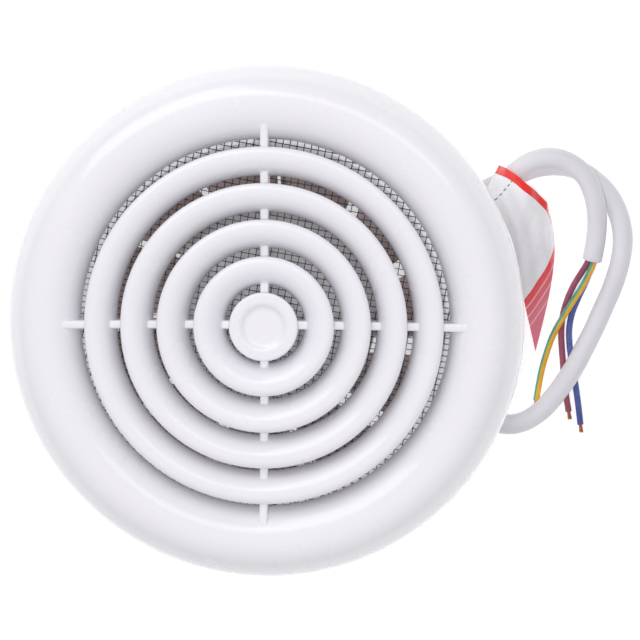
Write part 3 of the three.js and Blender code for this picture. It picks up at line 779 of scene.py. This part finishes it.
def ring_vane(outer_r, segments):
    corner_r = outer_r - LIP_WIDTH
    root_z = LIP_Z - RING_DEPTH
    spread = RING_SPREAD - LIP_WIDTH
    lip = quarter_ellipse(corner_r, LIP_Z - RING_WALL, LIP_WIDTH, RING_WALL, 1, 7)[::-1]
    face = quarter_ellipse(corner_r, root_z, spread, RING_DEPTH, -1, 20)[1:]
    back = quarter_ellipse(
        corner_r, root_z, spread - RING_WALL, RING_DEPTH - RING_WALL, -1, 12,
    )[::-1]
    outline = [*lip, *face, *back]
    root = len(lip) + len(face)
    corners = [(*p, 0.5) if i in (0, root - 1, root) else p for i, p in enumerate(outline)]
    return turned(corners, 3, segments)


def hub_cap():
    dish_z = LIP_Z - 1.4
    back_z = LIP_Z - HUB_CAP_DEPTH
    return turned([
        (0, back_z), (HUB_CAP_R - 2.6, back_z, 1.2), (HUB_CAP_R, LIP_Z - 2.2, 1.0),
        (HUB_CAP_R, LIP_Z, 1.8), (HUB_DISH_R + 1.0, LIP_Z, 1.6), (HUB_DISH_R - 0.8, dish_z, 3.0),
        (0, dish_z),
    ], 8, 96)


def spoke(angle):
    """One arm: a bar of rounded section that rises from under the hub cap into the bezel."""
    low = LIP_Z - RING_DEPTH
    half = SPOKE_W / 2
    top_r, top_z = zip(*SPOKE_TOP)
    loops = []
    for x in (5.0, *np.linspace(top_r[0], top_r[-1], 14)):
        top = float(np.interp(x, top_r, top_z))
        foot = half + 0.1
        section = [(-foot, low), (foot, low), (half, top, 1.1), (-half, top, 1.1)]
        loops.append([(x, y, z) for y, z in filleted(section, 5)])
    return spun(skinned(loops), angle)


def front_grille():
    """The moulding: bezel, skirt and clips first, then the spokes with the hub cap and rings."""
    made = new_object("grille_moulding", bezel())
    skirt_top = THROAT_Z + 5.5
    skirt_low = DUCT_TOP_Z + GAP
    outer = SKIRT_R + SKIRT_WALL
    join(made, turned([
        (SKIRT_R, skirt_low, 0.4), (outer, skirt_low, 0.4), (outer, skirt_top), (SKIRT_R, skirt_top),
    ], 2, 144))
    clip_low = (SKIRT_R + 0.12, -CLIP_HALF_W, CLIP_END_Z)
    join(made, *around(eased_block(clip_low, (outer - 0.02, CLIP_HALF_W, skirt_top)), DIAGONALS))
    spokes = new_object("spokes", spoke(QUARTERS[0]))
    combine(spokes, [spoke(a) for a in QUARTERS[1:]], "UNION")
    join(spokes, hub_cap())
    join(spokes, *[ring_vane(r, 240 - 36 * i) for i, r in enumerate(RING_OUTER_R)])
    points = np.array([v.co for v in spokes.data.vertices]) / MM
    faces = [list(p.vertices) for p in spokes.data.polygons]
    bpy.data.objects.remove(spokes)
    join(made, (points, faces))
    return piece(made, WHITE, "front_grille", "front_cover", 28)


def woven_screen():
    """Plain weave of crimped wires in two directions, trimmed to a circle."""
    radius = SKIRT_R - 0.9
    mid_z = np.mean([b[2] for b in node_box("insect_screen")])
    parts = []
    for direction in (0, 1):
        across, along = MESH_PITCHES[direction], MESH_PITCHES[1 - direction]
        rows = int(radius // across)
        for row in range(-rows, rows + 1):
            offset = row * across
            reach = math.sqrt(max(radius ** 2 - offset ** 2, 0))
            if reach < 2:
                continue
            steps = np.arange(-reach, reach, along / 3)
            phase = math.pi * (row + direction)
            wave = WIRE_R * np.cos(math.pi * steps / along + phase)
            line = np.column_stack([steps, np.full_like(steps, offset), mid_z + wave])
            if direction:
                line = line[:, [1, 0, 2]]
            if len(line) > 2:
                parts.append(tube(line, WIRE_R, 5))
    made = new_object("woven_screen", spun(merged(*parts), MESH_TURN))
    return piece(made, WIRE, "insect_screen", "front_cover", 60)


def screen_retainer():
    low, high = node_box("screen_retainer")
    outer = high[0]
    inner = outer - 4.2
    ring = rounded_box(inner, low[2], outer, high[2], 0.4, 3)
    made = new_object("screen_clamp_ring", lathe(ring, 180))
    notch = eased_block((inner - 1, -4, low[2] - 1), (inner + 1.2, 4, high[2] + 1))
    cut(made, *around(notch, QUARTERS))
    return piece(made, HOUSING, "screen_retainer", "front_cover")


# ---- duct housing
def duct_housing():
    bore = DUCT_R - DUCT_WALL
    flange_z = DUCT_TOP_Z - FLANGE_T
    made = new_object("duct_shell", turned([
        (bore + 0.2, 0, 0.5), (DUCT_R - 0.5, 0, 0.4), (DUCT_R, 4, 1.0),
        (DUCT_R, flange_z, 0.8), (FLANGE_R, flange_z, 0.5), (FLANGE_R, DUCT_TOP_Z, 0.6),
        (bore + 1.4, DUCT_TOP_Z, 0.5), (bore, DUCT_TOP_Z - 2.4, 1.0),
    ], 4, 240))
    boss_low = (BOSS_R - 3.4, -BOSS_HALF_W, MOTOR_REAR_Z)
    join(made, *around(eased_block(boss_low, (bore + 1, BOSS_HALF_W, BOSS_TOP_Z), 0.8), QUARTERS))
    sink = lathe([
        (0, flange_z - 1), (FIXING_HOLE_R, flange_z - 1), (FIXING_HOLE_R, DUCT_TOP_Z - 1.6),
        (4.4, DUCT_TOP_Z + 0.5), (0, DUCT_TOP_Z + 0.5),
    ], 32)
    slot_half_w = CLIP_HALF_W + 0.6
    slot_low = (SKIRT_R - 0.4, -slot_half_w, flange_z - 1)
    slot = eased_block(slot_low, (SKIRT_R + SKIRT_WALL + 0.6, slot_half_w, DUCT_TOP_Z + 1))
    cut(made,
        *around(cylinder(PILOT_R, MOTOR_REAR_Z - 1, MOTOR_REAR_Z + 12, 24), QUARTERS, BOSS_R),
        *around(sink, QUARTERS, FIXING_R),
        *around(slot, DIAGONALS),
        laid_radially(cylinder(WALL_HOLE_R, bore - 5, DUCT_R + 5, 48), EXIT_Z))
    return piece(made, HOUSING, "duct_housing")


# ---- bracket and fasteners
def motor_bracket():
    z0, z1 = BRACKET_LOW_Z, BRACKET_TOP_Z
    reach = node_box("motor_bracket")[1][0]
    made = new_object("motor_spider", cylinder(MOTOR_R - 0.5, z0, z1, 120))
    bars = prism(rounded_box(-reach, -ARM_HALF_W, reach, ARM_HALF_W, 2, 4), z0, z1)
    join(made, bars)
    join(made, spun(bars, TAU / 4))
    slot = rounded_box(36, -1.6, 47, 1.6, 1.5, 6)
    hole = cylinder(SCREW_HOLE_R, z0 - 1, z1 + 1)
    cut(made,
        cylinder(10, z0 - 1, z1 + 1, 64),
        *around(hole, QUARTERS, BOSS_R),
        *around(hole, DIAGONALS, BOLT_CIRCLE_R),
        *around(prism(slot, z0 - 1, z1 + 1), QUARTERS))
    bevelled(made, 0.25)
    return piece(made, ZINC, "motor_bracket")


def cross_recess(z, reach):
    """The two crossing wedges that cut a screwdriver's recess into a head."""
    loops = []
    for level, r, w in ((z - 1, reach, 0.42), (z + 1.5, reach * 0.45, 0.294)):
        loops.append([(-r, -w, level), (r, -w, level), (r, w, level), (-r, w, level)])
    return around(skinned(loops), (0.4, 0.4 + TAU / 4))


def set_over(made, node):
    """Moves what was made on the fan's axis to the place of a node beside it."""
    x, y, _ = sum(node_box(node)) / 2
    made.data.transform(Matrix.Translation(Vector((x, y, 0)) * MM))


def pan_head(name, node, shank_r):
    """Pan head with a cross recess, facing the rear, and its shank."""
    low, high = node_box(node)
    head_r = (high[1] - low[1]) / 2
    head_top = BRACKET_LOW_Z - GAP
    z = low[2]
    made = new_object(name, turned([
        (0, z), (head_r * 0.9, z, 1.3), (head_r, head_top - 0.5, 0.5),
        (head_r * 0.97, head_top, 0.2), (shank_r, head_top, 0.2),
        (shank_r, high[2] - 0.5), (shank_r * 0.6, high[2]), (0, high[2]),
    ], 4, 40))
    combine(made, cross_recess(z, head_r * 0.6), "DIFFERENCE")
    set_over(made, node)
    return piece(made, STEEL, node)


def hex_nut(name, node, across_flats, bore_r, body):
    """Chamfered hexagon nut."""
    low, high = node_box(node)
    z0, z1 = low[2], high[2]
    made = new_object(name, cylinder(across_flats / math.sqrt(3), z0, z1, 6))
    half = across_flats / 2
    ease = across_flats * 0.09
    corner_r = half * 1.16
    dome = lathe([
        (0, z0 - 1), (half - ease, z0 - 1), (half, z0), (corner_r, z0 + ease),
        (corner_r, z1 - ease), (half, z1), (half - ease, z1 + 1), (0, z1 + 1),
    ], 64)
    combine(made, [dome], "INTERSECT")
    cut(made, cylinder(bore_r, z0 - 2, z1 + 2))
    set_over(made, node)
    return piece(made, STEEL, node, body, 25)


# ---- motor
def shield(name, node, sign):
    """Pressed motor end cap. sign is 1 for the front one, which has a hole for the shaft."""
    front = sign > 0
    face = MOTOR_FRONT_Z if front else MOTOR_REAR_Z
    edge = STACK_TOP_Z + GAP if front else STACK_LOW_Z - GAP
    inner = face - sign * MOTOR_WALL
    bead = face - sign * 0.5
    pocket = inner - sign * 5.6
    start = [(4.6, inner), (4.6, face, 0.3)] if front else [(0, inner), (0, face)]
    outline = filleted([
        *start, (15, face, 0.6), (16, bead, 0.6), (19, bead, 0.6), (20, face, 0.6),
        (MOTOR_R, face, 2.2), (MOTOR_R, edge, 0.3), (MOTOR_R - MOTOR_WALL, edge, 0.3),
        (MOTOR_R - MOTOR_WALL, inner, 1.2), (11, inner), (11, pocket), (9.3, pocket), (9.3, inner),
    ], 5)
    if not front:
        outline = outline[1:] + [(0.0, inner)]
    made = new_object(name, lathe(outline, 120))
    vent = rounded_box(MOTOR_R - 3, -3.2, MOTOR_R + 2, 3.2, 0, 1)
    vent_mid = (face + edge) / 2
    open_sides = QUARTERS if front else [TAU / 4 + 0.4, *QUARTERS[2:]]
    cutters = around(cylinder(SCREW_HOLE_R, face - 3, face + 3, 24), DIAGONALS, BOLT_CIRCLE_R)
    cutters += around(prism(vent, vent_mid - 1, vent_mid + 1), open_sides)
    if not front:
        hole = cylinder(MOTOR_HOLE_R, MOTOR_R - 4, MOTOR_R + 4, 40)
        cutters.append(laid_radially(hole, MOTOR_ENTRY_Z))
    cut(made, *cutters)
    return piece(made, ZINC, node)


def sector(inner, outer, half_angle, z0, z1):
    arc = np.linspace(-half_angle, half_angle, 12)
    plan = [(outer * math.cos(a), outer * math.sin(a)) for a in arc]
    plan += [(inner * math.cos(a), inner * math.sin(a)) for a in arc[::-1]]
    return prism(plan, z0, z1)


def stator_stack():
    """Stacked sheets: the edge of each shows as a fine ridge."""
    z0, z1 = STACK_LOW_Z, STACK_TOP_Z
    sheets = 20
    pitch = (z1 - z0) / sheets
    groove_r = MOTOR_R - 0.12
    edge = []
    for i in range(sheets):
        low = z0 + i * pitch
        edge += [(groove_r, low), (MOTOR_R, low + 0.25 * pitch), (MOTOR_R, low + 0.75 * pitch)]
    outline = [(ROTOR_BORE_R, z0), *edge, (groove_r, z1), (ROTOR_BORE_R, z1)]
    made = new_object("stator_laminations", lathe(outline, 120))
    cut(made, *around(sector(*SLOT_R, SLOT_HALF_ANGLE, z0 - 1, z1 + 1), DIAGONALS))
    half = SLOT_MOUTH_HALF_W
    mouth = eased_block((12, -half, z0 - 1), (SLOT_R[0] + 1, half, z1 + 1), 0.1)
    hole = cylinder(SCREW_HOLE_R, z0 - 1, z1 + 1, 24)
    cut(made, *around(mouth, DIAGONALS), *around(hole, DIAGONALS, BOLT_CIRCLE_R))
    return piece(made, LAMINATION, "stator_stack")


# ---- impeller
def impeller_hub():
    front = node_box("impeller")[1][2]
    top = front - 1.4
    inner = HUB_R - 1.6
    foot = MOTOR_FRONT_Z + 1
    return turned([
        (SHAFT_BORE_R, foot, 0.3), (9, foot, 0.5), (9, top - 2.3, 1.0), (HUB_R - 6, top - 3.4, 2.0),
        (inner, top - 7, 2.0), (inner, HUB_SKIRT_Z, 0.5), (HUB_R, HUB_SKIRT_Z, 0.5),
        (HUB_R, top - 6.0, 4.0), (HUB_R - 4, top - 1.9, 3.0), (10.4, top, 0.6), (10, front, 0.5),
        (SHAFT_BORE_R, front, 0.3),
    ], 6, 160)


def impeller_blade(phase):
    """Twisted, arched blade with a thick root, a thin trailing edge and a rounded tip."""
    stations, steps = 16, 14
    root_r = HUB_R - 0.9
    half_span = BLADE_COVER * math.pi / BLADE_COUNT
    loops = []
    for i in range(stations + 1):
        share = i / stations
        r = root_r + share * (BLADE_TIP_R - root_r)
        corner = max(0.0, share - 0.86) / 0.14
        trim = 1 - 0.1 * corner ** 2
        thickness = (1.7 - 0.5 * share) * (1 - 0.45 * corner ** 3)
        rise = BLADE_ROOT_RISE - BLADE_TAPER * share
        loop = []
        for side in (1, -1):
            for k in range(steps + 1):
                along = k / steps if side > 0 else 1 - k / steps
                c = (2 * along - 1) * trim
                body = math.sqrt(max(0.02, 1 - (2 * along - 1) ** 4))
                angle = phase + c * half_span + BLADE_SWEEP * share
                arch = BLADE_CAMBER * (1 - c * c)
                z = BLADE_MID_Z + c * rise + arch + side * thickness * body / 2
                loop.append((r * math.cos(angle), r * math.sin(angle), z))
        loops.append(loop)
    return skinned(loops)


def impeller():
    made = new_object("impeller_wheel", impeller_hub())
    join(made, *[impeller_blade(TAU * i / BLADE_COUNT) for i in range(BLADE_COUNT)])
    return piece(made, IMPELLER, "impeller", "impeller", 40)


def washer(name, node, inner):
    low, high = node_box(node)
    ring = turned([
        (inner, low[2], 0.2), (high[0], low[2], 0.3), (high[0], high[2], 0.3), (inner, high[2], 0.2),
    ], 3, 72)
    return piece(new_object(name, ring), STEEL, node, "impeller")


# ---- cord
def on_exit_line(r, z):
    return (r * math.cos(EXIT_ANGLE), r * math.sin(EXIT_ANGLE), z)


RELIEF_END_R = DUCT_R + RELIEF_LENGTH * math.cos(EXIT_TILT)
RELIEF_END_Z = EXIT_Z - RELIEF_LENGTH * math.sin(EXIT_TILT)

HELD_ROUTE = [on_exit_line(r, z) for r, z in (
    (26.4, MOTOR_ENTRY_Z), (29.5, MOTOR_ENTRY_Z), (33, MOTOR_ENTRY_Z - 0.5), (38, 20.9), (44, 18.6),
    (50, 16.4), (56, 14.5), (DUCT_R, EXIT_Z), (71, EXIT_Z - 9.5 * math.tan(EXIT_TILT)),
    (RELIEF_END_R - GAP, RELIEF_END_Z + 0.1),
)]

SHEATH_ROUTE = [
    on_exit_line(RELIEF_END_R, RELIEF_END_Z),
    (77.4, 41.1, 4.9), (84.0, 44.4, 4.0), (91.0, 47.6, 3.8), (98.2, 49.8, 3.75),
    (105.5, 50.1, 3.75), (112.3, 48.2, 3.75), (118.4, 44.2, 3.75), (123.2, 39.0, 3.75),
    (126.6, 32.5, 3.75), (128.3, 25.0, 3.75), (127.8, 15.5, 3.75), (125.0, 5.5, 3.75),
    (120.9, -4.6, 3.8), (116.2, -14.8, 5.2), (111.4, -24.0, 6.6), (105.6, -33.2, 6.9),
    (98.6, -41.6, 6.5), (91.0, -46.4, 5.0), (83.2, -46.6, 3.9), (76.4, -42.4, 3.75),
    (71.9, -35.2, 3.75), (69.3, -26.5, 3.75), (67.9, -16.5, 3.75), (67.3, -6.0, 3.75),
    (67.5, 5.0, 3.8), (69.5, 16.0, 4.6), (73.6, 25.8, 7.0), (78.3, 33.8, 9.9),
    (81.9, 40.4, 12.1), (86.5, 46.6, 12.4), (92.8, 51.6, 12.1), (100.4, 53.6, 11.9),
    (107.8, 51.8, 11.9), (113.6, 46.9, 11.8), (117.1, 39.7, 10.5), (118.5, 31.5, 7.4),
    (118.4, 23.2, 4.9), (117.1, 14.9, 3.9),
]

CORE_ROUTES = {
    "brown": [
        (115.6, 14.4, 3.85), (113.6, 10.6, 2.6), (110.6, 5.4, 1.7), (108.2, -0.4, 1.3),
        (106.6, -6.6, 1.25), (106.2, -12.8, 1.25), (106.6, -19.5, 1.25), (107.3, -27.0, 1.25),
        (108.3, -36.0, 1.25), (109.4, -42.4, 1.25),
    ],
    "blue": [
        (117.7, 14.3, 2.6), (116.4, 10.4, 2.2), (114.8, 6.0, 1.7), (112.4, 0.6, 1.3),
        (110.2, -5.2, 1.25), (109.2, -11.0, 1.25), (109.4, -17.0, 1.25), (110.4, -24.0, 1.25),
        (111.8, -32.0, 1.25), (113.0, -40.0, 1.25), (113.9, -47.3, 1.25),
    ],
    "earth": [
        (117.7, 14.3, 5.15), (116.1, 10.2, 5.2), (113.5, 5.0, 4.8), (110.7, 0.4, 4.2),
        (107.6, -4.9, 4.0), (105.0, -9.4, 3.6), (102.8, -14.2, 2.4), (101.1, -19.4, 1.4),
        (99.3, -26.0, 1.25), (98.1, -32.4, 1.25), (97.2, -38.4, 1.25),
    ],
}


def lay_ripple(path, radius):
    """Radius of a sheath that shows, faintly, the twist of three cores inside it."""
    step = route_length(path) / (len(path) - 1)
    return lambda i, a: radius + 0.035 * math.cos(3 * (a - TAU * i * step / CORD_TWIST))


def cord_sheath(tag):
    """The free cord: a tube that is open at its cut end, where the cores come out."""
    path = smooth_route(SHEATH_ROUTE, 1.5)
    sides = 32
    radius = CORD_D / 2
    side, up = route_frames(path)
    tangent = path[-1] - path[-2]
    tangent /= np.linalg.norm(tangent)
    loops = tube_loops(path, lay_ripple(path, radius - 0.03), sides)[:-1]
    cut_end = ((0.05, 0.35, 0.12), (0.3, 0.1, 0.12), (0.95, 0.1, 0.1), (1.05, 0.5, 0.05), (1.05, 6, 0))
    for inset, back, ragged in cut_end:
        loop = []
        for k in range(sides):
            a = TAU * k / sides
            slip = back + ragged * (math.sin(2 * a + 0.6) + 0.5 * math.sin(5 * a))
            loop.append(path[-1] - tangent * slip
                        + (radius - inset) * (math.cos(a) * side[-1] + math.sin(a) * up[-1]))
        loops.append(loop)
    made = new_object("cord_sheathing", skinned(loops))
    piece(made, CORD, "cord_sheath", sharp=50)
    return tangent


def cord_cores(sheath_tangent):
    """The three cores, which start out of sight inside the sheath's end."""
    for colour, route in CORE_ROUTES.items():
        inside = tuple(np.array(route[0]) - 3.6 * sheath_tangent)
        path = smooth_route([inside, *route], 0.8)
        copper = copper_end(colour, path)
        sides = 20
        made = new_object(f"core_{colour}_insulation", tube(path, CORE_D / 2, sides),
                          tube_uv(path, sides))
        piece(made, CORES[colour], f"core_{colour}", sharp=50)


def copper_end(colour, path):
    """Bundle of fine strands that stand out of the end of a core."""
    end = path[-1]
    along = path[-1] - path[-2]
    along[2] = 0
    along /= np.linalg.norm(along)
    up = np.array([0, 0, 1.0])
    side = np.cross(along, up)
    parts = []
    for k in range(12):
        inner = k < 3
        angle = TAU * k / (3 if inner else 9)
        away = math.cos(angle) * side + math.sin(angle) * up
        offset = (0.2 if inner else 0.52) * away
        length = 2.9 + 0.25 * math.sin(2.7 * k)
        splay = (0.0 if inner else 0.16) * away
        start = end - along * 0.8 + offset
        middle = end + along * length * 0.5 + offset + splay * 0.3
        tip = end + along * length + offset + splay
        parts.append(tube(smooth_route([start, middle, tip], 0.5), 0.17, 8))
    made = new_object(f"copper_strands_{colour}", merged(*parts))
    return piece(made, COPPER, f"copper_end_{colour}", sharp=60)


def inner_cord():
    path = smooth_route(HELD_ROUTE, 1.5)
    made = new_object("inner_cord_sheathing", tube(path, lay_ripple(path, 3.71), 32))
    return piece(made, CORD, "inner_cord", sharp=50)


def strain_relief():
    """Flanged rubber bush whose tapered tail is grooved so that it bends evenly."""
    inside = DUCT_R - DUCT_WALL - 2.4
    outside = DUCT_R + GAP
    flange = turned([
        (0, inside), (8, inside, 0.6), (8, inside + 1.5, 0.4), (6, inside + 1.5, 0.2),
        (6, outside, 0.2), (8, outside, 0.4), (8, DUCT_R + 2, 0.7), (0, DUCT_R + 2),
    ], 4, 72)
    tail_start = 2.6
    length = RELIEF_LENGTH - tail_start
    outline = [(0, -1.4), (6.2, -1.4)]
    grooves = 5
    for i in range(grooves):
        start = 1.6 + i * (length - 3.2) / grooves
        for step, depth in ((0.0, 0.0), (0.5, 0.85), (1.3, 0.85), (1.8, 0.0)):
            z = start + step
            outline.append((6.2 - 1.45 * z / length - depth, z, 0.2))
    outline += [(4.75, length, 0.5), (0, length)]
    made = new_object("cord_strain_relief", laid_radially(flange, EXIT_Z))
    join(made, laid_radially(
        turned(outline, 3, 72), EXIT_Z - tail_start * math.sin(EXIT_TILT),
        EXIT_TILT, DUCT_R + tail_start * math.cos(EXIT_TILT)))
    beyond = on_exit_line(RELIEF_END_R + 4, RELIEF_END_Z - 4 * math.tan(EXIT_TILT))
    passage = smooth_route([on_exit_line(48, 17.1), *HELD_ROUTE[6:9], beyond], 1.5)
    cut(made, tube(passage, 3.95, 40))
    return piece(made, RUBBER, "strain_relief")


def motor_grommet():
    bore = 4.25
    outside = MOTOR_R + GAP
    ring = turned([
        (bore, 25.9, 0.3), (6.1, 25.9, 0.4), (6.1, 27.3, 0.3), (5.1, 27.3), (5.1, outside),
        (6.1, outside, 0.3), (6.1, MOTOR_R + 1.8, 0.5), (bore, MOTOR_R + 1.8, 0.3),
    ], 4, 64)
    made = new_object("motor_bush", laid_radially(ring, MOTOR_ENTRY_Z))
    return piece(made, RUBBER, "motor_grommet")


def at_share(line, share):
    """Point at a share of the way along an evenly spaced line."""
    at = share * (len(line) - 1)
    low = min(int(at), len(line) - 2)
    return line[low] + (at - low) * (line[low + 1] - line[low])


def sheet_faces(rows, columns):
    """Faces that close two layers of a grid of points into a thin solid."""
    def at(i, j, side=0):
        return (side * (rows + 1) + i) * (columns + 1) + j

    faces = []
    for i in range(rows):
        for j in range(columns):
            faces.append([at(i, j), at(i, j + 1), at(i + 1, j + 1), at(i + 1, j)])
            faces.append([at(i, j, 1), at(i + 1, j, 1), at(i + 1, j + 1, 1), at(i, j + 1, 1)])
    for i in range(rows):
        faces.append([at(i, 0), at(i + 1, 0), at(i + 1, 0, 1), at(i, 0, 1)])
        faces.append([at(i, columns), at(i, columns, 1), at(i + 1, columns, 1), at(i + 1, columns)])
    for j in range(columns):
        faces.append([at(0, j), at(0, j, 1), at(0, j + 1, 1), at(0, j + 1)])
        faces.append([at(rows, j), at(rows, j + 1), at(rows, j + 1, 1), at(rows, j, 1)])
    return faces


def cord_tag():
    """Printed film rolled over both strands, creased near its mouth, one corner on the floor."""
    rows, columns = 60, 40
    mouth = smooth_route([
        (81.6, 51.0, 12.0), (85.4, 49.6, 18.6), (90.9, 45.4, 19.6),
        (96.5, 40.9, 15.5), (100.0, 36.5, 10.0), (101.8, 30.3, 2.5)], 0.1)
    tail = smooth_route([
        (75.4, 38.8, 15.0), (78.8, 35.3, 18.6), (84.6, 29.0, 17.8),
        (88.6, 18.0, 12.6), (92.6, -2.0, 5.6), (96.8, -20.0, 1.0)], 0.1)
    grid = np.zeros((rows + 1, columns + 1, 3))
    for i in range(rows + 1):
        for j in range(columns + 1):
            down, out = i / rows, j / columns
            grid[i, j] = at_share(mouth, down) * (1 - out) + at_share(tail, down) * out
            grid[i, j, 0] += 3.2 * down ** 3 * math.sin(math.pi * out ** 0.7)
    across, along = np.gradient(grid, axis=(0, 1))
    normal = np.cross(along, across)
    normal /= np.linalg.norm(normal, axis=2)[:, :, None]
    normal *= np.sign(normal[:, :, 2].mean())
    u, v = np.meshgrid(np.linspace(0, 1, rows + 1), np.linspace(0, 1, columns + 1), indexing="ij")
    fold = np.abs(((3.6 * u + 0.5 * v + 0.35) % 1) - 0.5)
    crease = 1.5 * (fold - 0.25) * np.exp(-1.6 * v) + 0.2 * np.sin(9 * u - 14 * v)
    crease *= np.clip(4 * (1 - u), 0, 1)
    top = grid + normal * (crease - 0.25)[:, :, None]
    bottom = top - normal * FILM_T
    points = np.vstack([top.reshape(-1, 3), bottom.reshape(-1, 3)])
    faces = sheet_faces(rows, columns)
    steps = np.linalg.norm(np.diff(grid, axis=1), axis=2)
    from_mouth = np.hstack([np.zeros((rows + 1, 1)), np.cumsum(steps, axis=1)])
    place = np.column_stack([u.ravel(), from_mouth.ravel()])
    uvs = [tuple(place[k % len(place)]) for face in faces for k in face]
    made = new_object("cord_label_sheet", (points, faces), uvs)
    return piece(made, FILM, "cord_tag", sharp=70)


# ---- assembly
front_grille()
woven_screen()
screen_retainer()
duct_housing()
motor_bracket()
for number in range(1, 5):
    pan_head(f"bracket_fixing_{number}", f"bracket_screw_{number}", 1.3)
    pan_head(f"tie_bolt_{number}", f"motor_bolt_{number}", 1.4)
    hex_nut(f"tie_nut_{number}", f"motor_nut_{number}", 5.0, 1.7, "housing")
shield("motor_cap_rear", "motor_rear_shield", -1)
shield("motor_cap_front", "motor_front_shield", 1)
stator_stack()
impeller()
washer("impeller_disc_washer", "impeller_washer", NUT_BORE_R)
hex_nut("impeller_hex_nut", "impeller_nut", 13.0, NUT_BORE_R, "impeller")
strain_relief()
motor_grommet()
inner_cord()
cord_cores(cord_sheath(cord_tag()))

# Hidden nodes that keep their CAD solids.
CARRIED = {
    "stator_winding": WINDING,
    "bearing_rear": BRONZE,
    "bearing_front": BRONZE,
    "rotor_core": LAMINATION[1],
    "motor_shaft": STEEL[1],
    "thrust_washer": FIBRE,
}
for node, material in CARRIED.items():
    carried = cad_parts[node]
    carried.data.materials.clear()
    carried.data.materials.append(material)


# ---- studio
SKY_LOW = 0.33  # strength of the sky at the horizon
SKY_TOP = 0.27
KEY_POWER = 2.6
FRONT_POWER = 4.95
STRIP_POWER = 0.8


def make_floor():
    """Floor whose far edge stays out of sight from every side."""
    size = 12.0
    mesh = bpy.data.meshes.new("floor")
    corners = [(-size, -size, 0), (size, -size, 0), (size, size, 0), (-size, size, 0)]
    mesh.from_pydata(corners, [], [[0, 1, 2, 3]])
    mesh.materials.append(floor_white())
    placed("floor", mesh)


def area_light(name, at, aim, width, height, power):
    data = bpy.data.lights.new(name, "AREA")
    data.shape = "RECTANGLE"
    data.size, data.size_y = width, height
    data.energy = power
    lamp = placed(name, data)
    lamp.location = at
    direction = Vector(aim) - Vector(at)
    lamp.rotation_euler = direction.to_track_quat("-Z", "Y").to_euler()
    return lamp


def light_studio():
    """An almost even sky, a key softbox, a light by the lens and a strip for the highlights."""
    world = bpy.data.worlds.new("studio")
    bpy.context.scene.world = world
    world.use_nodes = True
    tree = world.node_tree
    background = tree.nodes["Background"]
    background.inputs["Color"].default_value = (0.98, 0.98, 1.0, 1)
    place = add_node(tree, "TexCoord", {})
    split = add_node(tree, "SeparateXYZ", {"Vector": place.outputs["Generated"]})
    glow = add_node(tree, "MapRange", {
        "Value": split.outputs["Z"], "From Min": 0.0, "From Max": 1.0,
        "To Min": SKY_LOW, "To Max": SKY_TOP,
    })
    tree.links.new(glow.outputs["Result"], background.inputs["Strength"])
    panel_centre = (0, 0, 0.09)
    area_light("key", (-0.45, 0.73, 0.75), panel_centre, 0.8, 0.68, KEY_POWER)
    front = area_light("front", (0.03, 0.07, 1.02), (0, 0, 0.05), 0.25, 0.25, FRONT_POWER)
    front.visible_glossy = False
    strip = area_light("strip", (0.22, 0.53, 0.91), panel_centre, 0.8, 0.3, STRIP_POWER)
    strip.visible_diffuse = False


make_floor()
light_studio()
view = bpy.context.scene.view_settings
view.view_transform = "Standard"
view.gamma = 1.1
